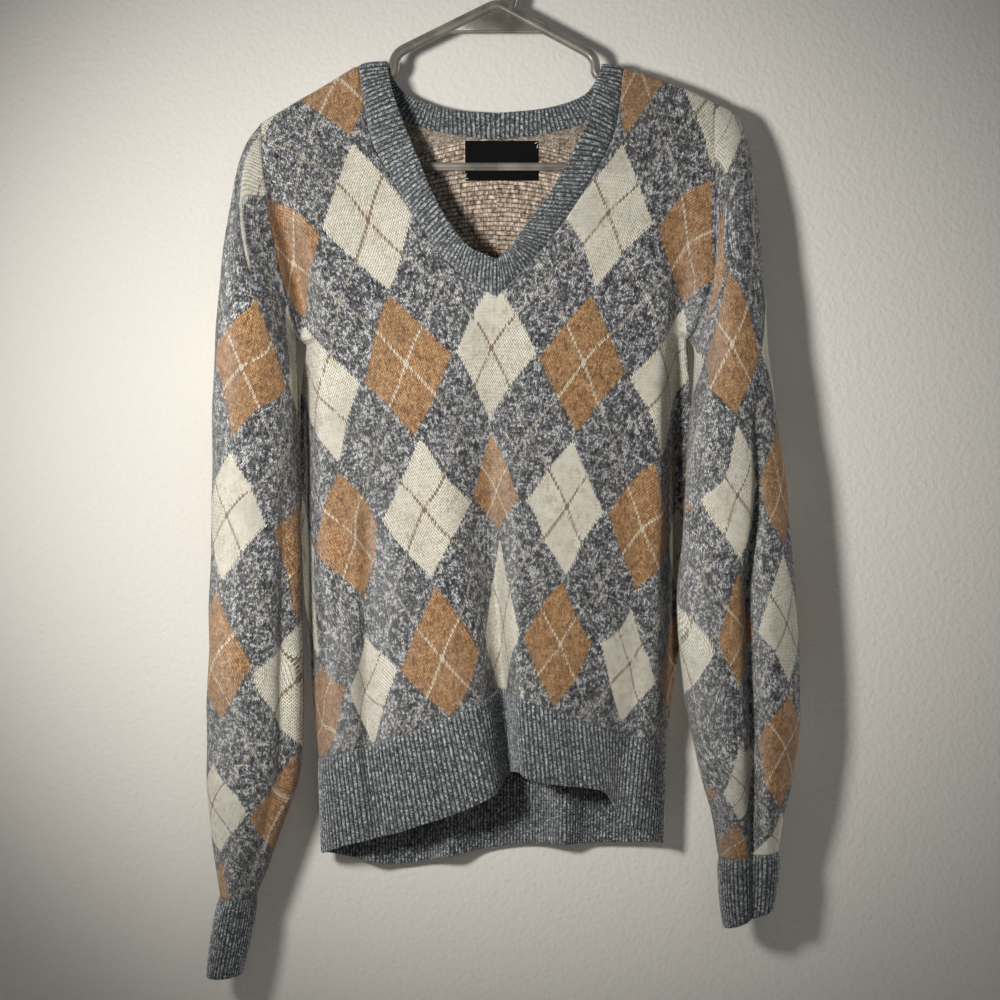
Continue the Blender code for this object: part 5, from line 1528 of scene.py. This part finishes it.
# Share of the raker's stitches that are lost in the wool, and how much fainter it is on grey
RAKER_LOST, RAKER_FAINT = 0.12, 0.55
# Stitches of the wrong side to those of the right side, and their lean
FLOAT_SIZE, FLOAT_LEAN = (0.82, 1.15, 1), 0.1
RIB_LEAN = 0.7
# Painted shade in a rib's trough: across a rib the colour falls from full to 0.1 of itself towards the trough
RIB_TROUGH_SHADE = (0.25, 0.9, 1.0, 0.1)
WOOL = {"Roughness": 0.92, "Sheen_Weight": 0.35, "Sheen_Roughness": 0.55, "Specular_IOR_Level": 0.2}
WOOL_INSIDE = {"Roughness": 0.95, "Sheen_Weight": 0.3, "Sheen_Roughness": 0.55, "Specular_IOR_Level": 0.15}
JERSEY_RELIEF, WRONG_SIDE_RELIEF, RIB_RELIEF = 0.0007, 0.0006, 0.0006


def grouped(tree, group, **values):
    """Signals of a group placed in a material. Input names have spaces for the underscores."""
    values = {name.replace("_", " "): value for name, value in values.items()}
    return new_node(tree, "ShaderNodeGroup", values, node_tree=group)


def marl(tree, place, random, yarn, share, **values):
    """Signals of the marl group with a yarn."""
    return grouped(tree, MARL, Place=place, Random=random, Dark=yarn[0], Middle=yarn[1], Light=yarn[2],
                   Stitch_Share=share, **values)


def jersey_material(name):
    """Right side of the argyle jersey."""
    material, tree, shader, place = new_material(name, **WOOL)
    stitch = grouped(tree, STITCHES, Stitches=uv_map(tree, "stitches"))
    argyle = grouped(tree, DIAMONDS, Diamonds=uv_map(tree, "diamonds"), Wale_Shift=stitch["Wale Shift"],
                     Course_Shift=stitch["Course Shift"])
    grey = marl(tree, place, stitch["Random"], GREY_MARL, GREY_SHARE)
    tan = marl(tree, place, stitch["Random"], TAN_YARN, YARN_SHARE)["Color"]
    cream = marl(tree, place, stitch["Random"], CREAM_YARN, YARN_SHARE)["Color"]
    base = blended(argyle["Cream"], blended(argyle["Tan"], grey["Color"], tan), cream)
    kept = argyle["Raker"] * calc("GREATER_THAN", stitch["Second Random"], RAKER_LOST)
    faint = (1.0 - (argyle["Tan"] + argyle["Cream"])) * RAKER_FAINT
    raker = blended(argyle["Cream"], RAKER_ON_TAN, RAKER_ON_CREAM)
    base = blended(kept * (1.0 - faint), base, raker)
    # the colour takes painted shade in the gaps between the stitch legs
    wool = grouped(tree, RELIEF, Color=base, Height=stitch["Height"], Fibre=grey["Fibre"])
    finished(shader, wool["Color"], wool["Height"], JERSEY_RELIEF)
    return material


def wrong_side_material(name):
    """Wrong side of the argyle jersey: rows of short pinkish floats with painted shade in the gaps between.
    """
    material, tree, shader, place = new_material(name, **WOOL_INSIDE)
    floats = new_node(tree, "ShaderNodeVectorMath", {0: uv_map(tree, "stitches"), 1: FLOAT_SIZE},
                      operation="MULTIPLY")[0]
    stitch = grouped(tree, STITCHES, Stitches=floats, Lean=FLOAT_LEAN)
    purl = marl(tree, place, stitch["Random"], PURL_YARN, YARN_SHARE)
    # painted shade in the gaps between the floats
    wool = grouped(tree, RELIEF, Color=purl["Color"], Height=stitch["Height"], Fibre=purl["Fibre"])
    finished(shader, wool["Color"], wool["Height"], WRONG_SIDE_RELIEF)
    return material


def rib_material(name):
    """Blue-grey marl rib: one wale of stitches on each ridge, with painted shade in the trough between and in
    the gaps between the legs.
    """
    material, tree, shader, place = new_material(name, **WOOL)
    ribs = uv_map(tree, "stitches")
    stitch = grouped(tree, STITCHES, Stitches=ribs, Lean=RIB_LEAN)
    ridge = abs(calc("FRACT", split(ribs)[0]) * 2.0 - 1.0)
    yarn = marl(tree, place, stitch["Second Random"], RIB_MARL, RIB_SHARE, Fleck_Scale=RIB_FLECK_SCALE)
    # painted shade, darkest in the trough between two ridges
    shaded = scaled(yarn["Color"], ramped(ridge, *RIB_TROUGH_SHADE))
    wool = grouped(tree, RELIEF, Color=shaded, Height=stitch["Height"], Fibre=yarn["Fibre"],
                   Gap_Shade=RIB_GAP_SHADE)
    finished(shader, wool["Color"], wool["Height"], RIB_RELIEF)
    return material


# Label: its black threads and dust, the twill's lines across and up it and its rows, and the dust's grain
LABEL_BLACKS = srgb(5, 5, 6), srgb(17, 17, 19)
LABEL_DUST = srgb(52, 50, 49)
TWILL_ACROSS, TWILL_UP, WEAVE_ROWS = 760.0, 620.0, 520.0
DUST_SCALE = 1400.0
DUST_SPREAD = (0.68, 0.8, 0.0, 0.25)
LABEL_RELIEF = 0.00012


def label_material():
    """Black woven label: fine twill lines over rows of weave, with a little dust."""
    material, tree, shader, place = new_material("black_label_weave", Roughness=0.7, Specular_IOR_Level=0.12)
    across, up, _ = split(uv_map(tree, "label"))
    twill = calc("SINE", across * TWILL_ACROSS + up * TWILL_UP)
    weave = ramped(twill + calc("SINE", up * WEAVE_ROWS), -1.6, 1.6)
    dust = ramped(noisy(place, DUST_SCALE), *DUST_SPREAD)
    finished(shader, blended(dust, blended(weave, *LABEL_BLACKS), LABEL_DUST), weave, LABEL_RELIEF)
    return material


THREAD_WHITES = srgb(206, 202, 192), srgb(244, 241, 234)
TWIST_LEAN, TWIST_SCALE, TWIST_RELIEF = 1.4, 9000.0, 0.0001


def tack_material():
    """White cotton thread with its twist."""
    material, _, shader, place = new_material("white_thread", Roughness=0.8, Sheen_Weight=0.2,
                                              Specular_IOR_Level=0.3)
    x, _, z = split(place)
    twist = calc("SINE", (x + z * TWIST_LEAN) * TWIST_SCALE)
    finished(shader, blended(ramped(twist, -1.0, 1.0), *THREAD_WHITES), twist, TWIST_RELIEF)
    return material


# Plastic: its shades and scratches, the clouds from its flow in the mould, and how rough it is
PLASTIC_SHADES = srgb(96, 92, 84), srgb(132, 127, 117)
SCRATCH_COLOUR = srgb(172, 168, 158)
FLOW_SCALE, FLOW_SPREAD = 34.0, (0.3, 0.7)
SCRATCH_STRETCH, SCRATCH_SCALE, SCRATCH_SPREAD = (1.0, 1.0, 7.0), 420.0, (0.62, 0.74)
PLASTIC_ROUGH, SCRATCH_ROUGH = (0.24, 0.36), 0.2
SCRATCH_SHARE = 0.3
PLASTIC_RELIEF = 0.0002


def plastic_material():
    """Smoke grey moulded plastic with flow clouds and fine paler scratches."""
    material, tree, shader, place = new_material(
        "smoke_plastic_moulded", IOR=1.5, Specular_IOR_Level=0.55, Coat_Weight=0.12, Coat_Roughness=0.15,
        Subsurface_Weight=0.12, Subsurface_Scale=0.004)
    flow = noisy(place, FLOW_SCALE, 3.0)
    stretched = new_node(tree, "ShaderNodeMapping", {"Vector": place, "Scale": SCRATCH_STRETCH})[0]
    scratch = ramped(noisy(stretched, SCRATCH_SCALE), *SCRATCH_SPREAD)
    base = blended(ramped(flow, *FLOW_SPREAD), *PLASTIC_SHADES)
    base = blended(scratch * SCRATCH_SHARE, base, SCRATCH_COLOUR)
    rough = ramped(flow, *FLOW_SPREAD, *PLASTIC_ROUGH) + scratch * SCRATCH_ROUGH
    set_inputs(shader, {"Roughness": rough})
    finished(shader, base, flow - scratch * SCRATCH_SHARE, PLASTIC_RELIEF)
    return material


# ---------------------------------------------------------------- the garment

STITCHES, DIAMONDS, MARL, RELIEF = stitch_group(), diamond_group(), marl_group(), wool_relief_and_gap_shade_group()
jersey = jersey_material("argyle_jersey")
wrong_side = wrong_side_material("argyle_wrong_side")
rib = rib_material("blue_grey_rib")

front, back = panel_surface(True), panel_surface(False)
sleeves = {side: sleeve_surface(side) for side in (-1, 1)}
share_normals([front, back, *sleeves.values()])

pieces = {
    "front": cloth_wall("front_jersey", front, (jersey, wrong_side)),
    "back": cloth_wall("back_jersey", back, (jersey, wrong_side)),
    "sleeve_right": cloth_wall("sleeve_right_jersey", sleeves[-1], (jersey, wrong_side)),
    "sleeve_left": cloth_wall("sleeve_left_jersey", sleeves[1], (jersey, wrong_side)),
    "hem_rib_front": hem_rib("hem_front_ribbed", front, True, rib),
    "hem_rib_back": hem_rib("hem_back_ribbed", back, False, rib),
    "cuff_right": cuff_rib("cuff_right_ribbed", sleeves[-1], -1, rib),
    "cuff_left": cuff_rib("cuff_left_ribbed", sleeves[1], 1, rib),
    "neckband": neckband_rib(front, back, rib),
    "hanger": hanger_piece(plastic_material()),
}
pieces["label"], label_face = label_piece(back, label_material())
tacks = thread_tacks(label_face, tack_material())

for node, piece in pieces.items():
    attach(piece, "root")
    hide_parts(node)
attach(tacks, "root")


# ---------------------------------------------------------------- stage, light and camera

# Places and sizes of the stage are in metres
WALL_Y = 0.036
FLOOR_Z = -1.32
WALL_TOP = 3
STAGE_HALF_WIDTH = 4
FLOOR_FRONT, FLOOR_BACK = -6, 6
STAGE_CLOUD_SCALE, STAGE_GRAIN_SCALE, STAGE_RELIEF = 1.6, 230.0, 0.0012


def stage_sheet(name, corners, shades, clear_behind):
    """Four-cornered stage piece of painted plaster with faint clouds.

    A wall is clear from behind and to shadow rays, so that it hides nothing there and stops no light.
    """
    material, tree, shader, place = new_material("pale_" + name, Roughness=0.9, Specular_IOR_Level=0.1)
    grain = noisy(place, STAGE_GRAIN_SCALE)
    finished(shader, blended(noisy(place, STAGE_CLOUD_SCALE, 3.0), *shades), grain, STAGE_RELIEF)
    if clear_behind:
        clear = new_node(tree, "ShaderNodeBsdfTransparent")[0]
        behind = new_node(tree, "ShaderNodeNewGeometry")["Backfacing"]
        passes = calc("MAXIMUM", behind, new_node(tree, "ShaderNodeLightPath")["Is Shadow Ray"])
        painted = Signal(shader.outputs[0])
        surface = new_node(tree, "ShaderNodeMixShader", {0: passes, 1: painted, 2: clear})[0]
        set_inputs(tree.nodes["Material Output"], {"Surface": surface})
    mesh = bpy.data.meshes.new(name)
    mesh.from_pydata(corners, [], [(0, 1, 2, 3)])
    mesh.materials.append(material)
    result = bpy.data.objects.new(name, mesh)
    bpy.context.scene.collection.objects.link(result)


WIDE = (-STAGE_HALF_WIDTH, STAGE_HALF_WIDTH, STAGE_HALF_WIDTH, -STAGE_HALF_WIDTH)
UP = (FLOOR_Z, FLOOR_Z, WALL_TOP, WALL_TOP)
DEEP = (FLOOR_FRONT, FLOOR_FRONT, FLOOR_BACK, FLOOR_BACK)
stage_sheet("wall", [(x, WALL_Y, z) for x, z in zip(WIDE, UP)],
            (srgb(222, 219, 212), srgb(216, 212, 205)), True)
stage_sheet("floor", [(x, y, FLOOR_Z) for x, y in zip(WIDE, DEEP)],
            (srgb(214, 210, 202), srgb(206, 202, 194)), False)

# Lights: name, kind, place and target in metres, watts, colour, and the size or the cone of each
LIGHTS = (
    ("key", "SPOT", (-0.48, -1.2, -0.31), (-0.074, 0, -0.4), 76, (1, 0.985, 0.95),
     {"shadow_soft_size": 0.09, "spot_size": math.radians(53), "spot_blend": 1.0}),
    ("fill", "AREA", (0.4, -2.6, -0.2), (0, 0, -0.5), 4, (0.94, 0.97, 1), {"size": 1.4}),
    ("left rear", "AREA", (-2.2, 1.15, 0.1), (0, 0, -0.45), 24, (1, 0.98, 0.95), {"size": 0.9}),
    ("right rear", "AREA", (2.2, 1.15, 0.1), (0, 0, -0.45), 24, (1, 0.98, 0.95), {"size": 0.9}),
)
for name, kind, place, target, power, colour, settings in LIGHTS:
    light = bpy.data.lights.new(name, kind)
    light.energy, light.color = power, colour
    for label, value in settings.items():
        setattr(light, label, value)
    lamp = bpy.data.objects.new(name, light)
    bpy.context.scene.collection.objects.link(lamp)
    lamp.location = place
    lamp.rotation_euler = (Vector(target) - Vector(place)).to_track_quat("-Z", "Y").to_euler()

world = bpy.data.worlds.new("room")
world.use_nodes = True
set_inputs(world.node_tree.nodes["Background"], {"Color": (0.93, 0.95, 1, 1), "Strength": 0.095})
scene = bpy.context.scene
scene.world = world
scene.view_settings.view_transform = "Standard"

# The photo shows 0.84 m across at the hanger, 2.2 m from the camera
SENSOR_WIDTH = 36
SEEN_WIDTH = 840
camera_data = bpy.data.cameras.new("camera")
camera_data.sensor_width = SENSOR_WIDTH
camera_data.lens = -SENSOR_WIDTH * CAMERA[1] / SEEN_WIDTH
camera = bpy.data.objects.new("camera", camera_data)
scene.collection.objects.link(camera)
camera.location = np.array(CAMERA) * MM
camera.rotation_euler = (math.pi / 2, 0, 0)
scene.camera = camera
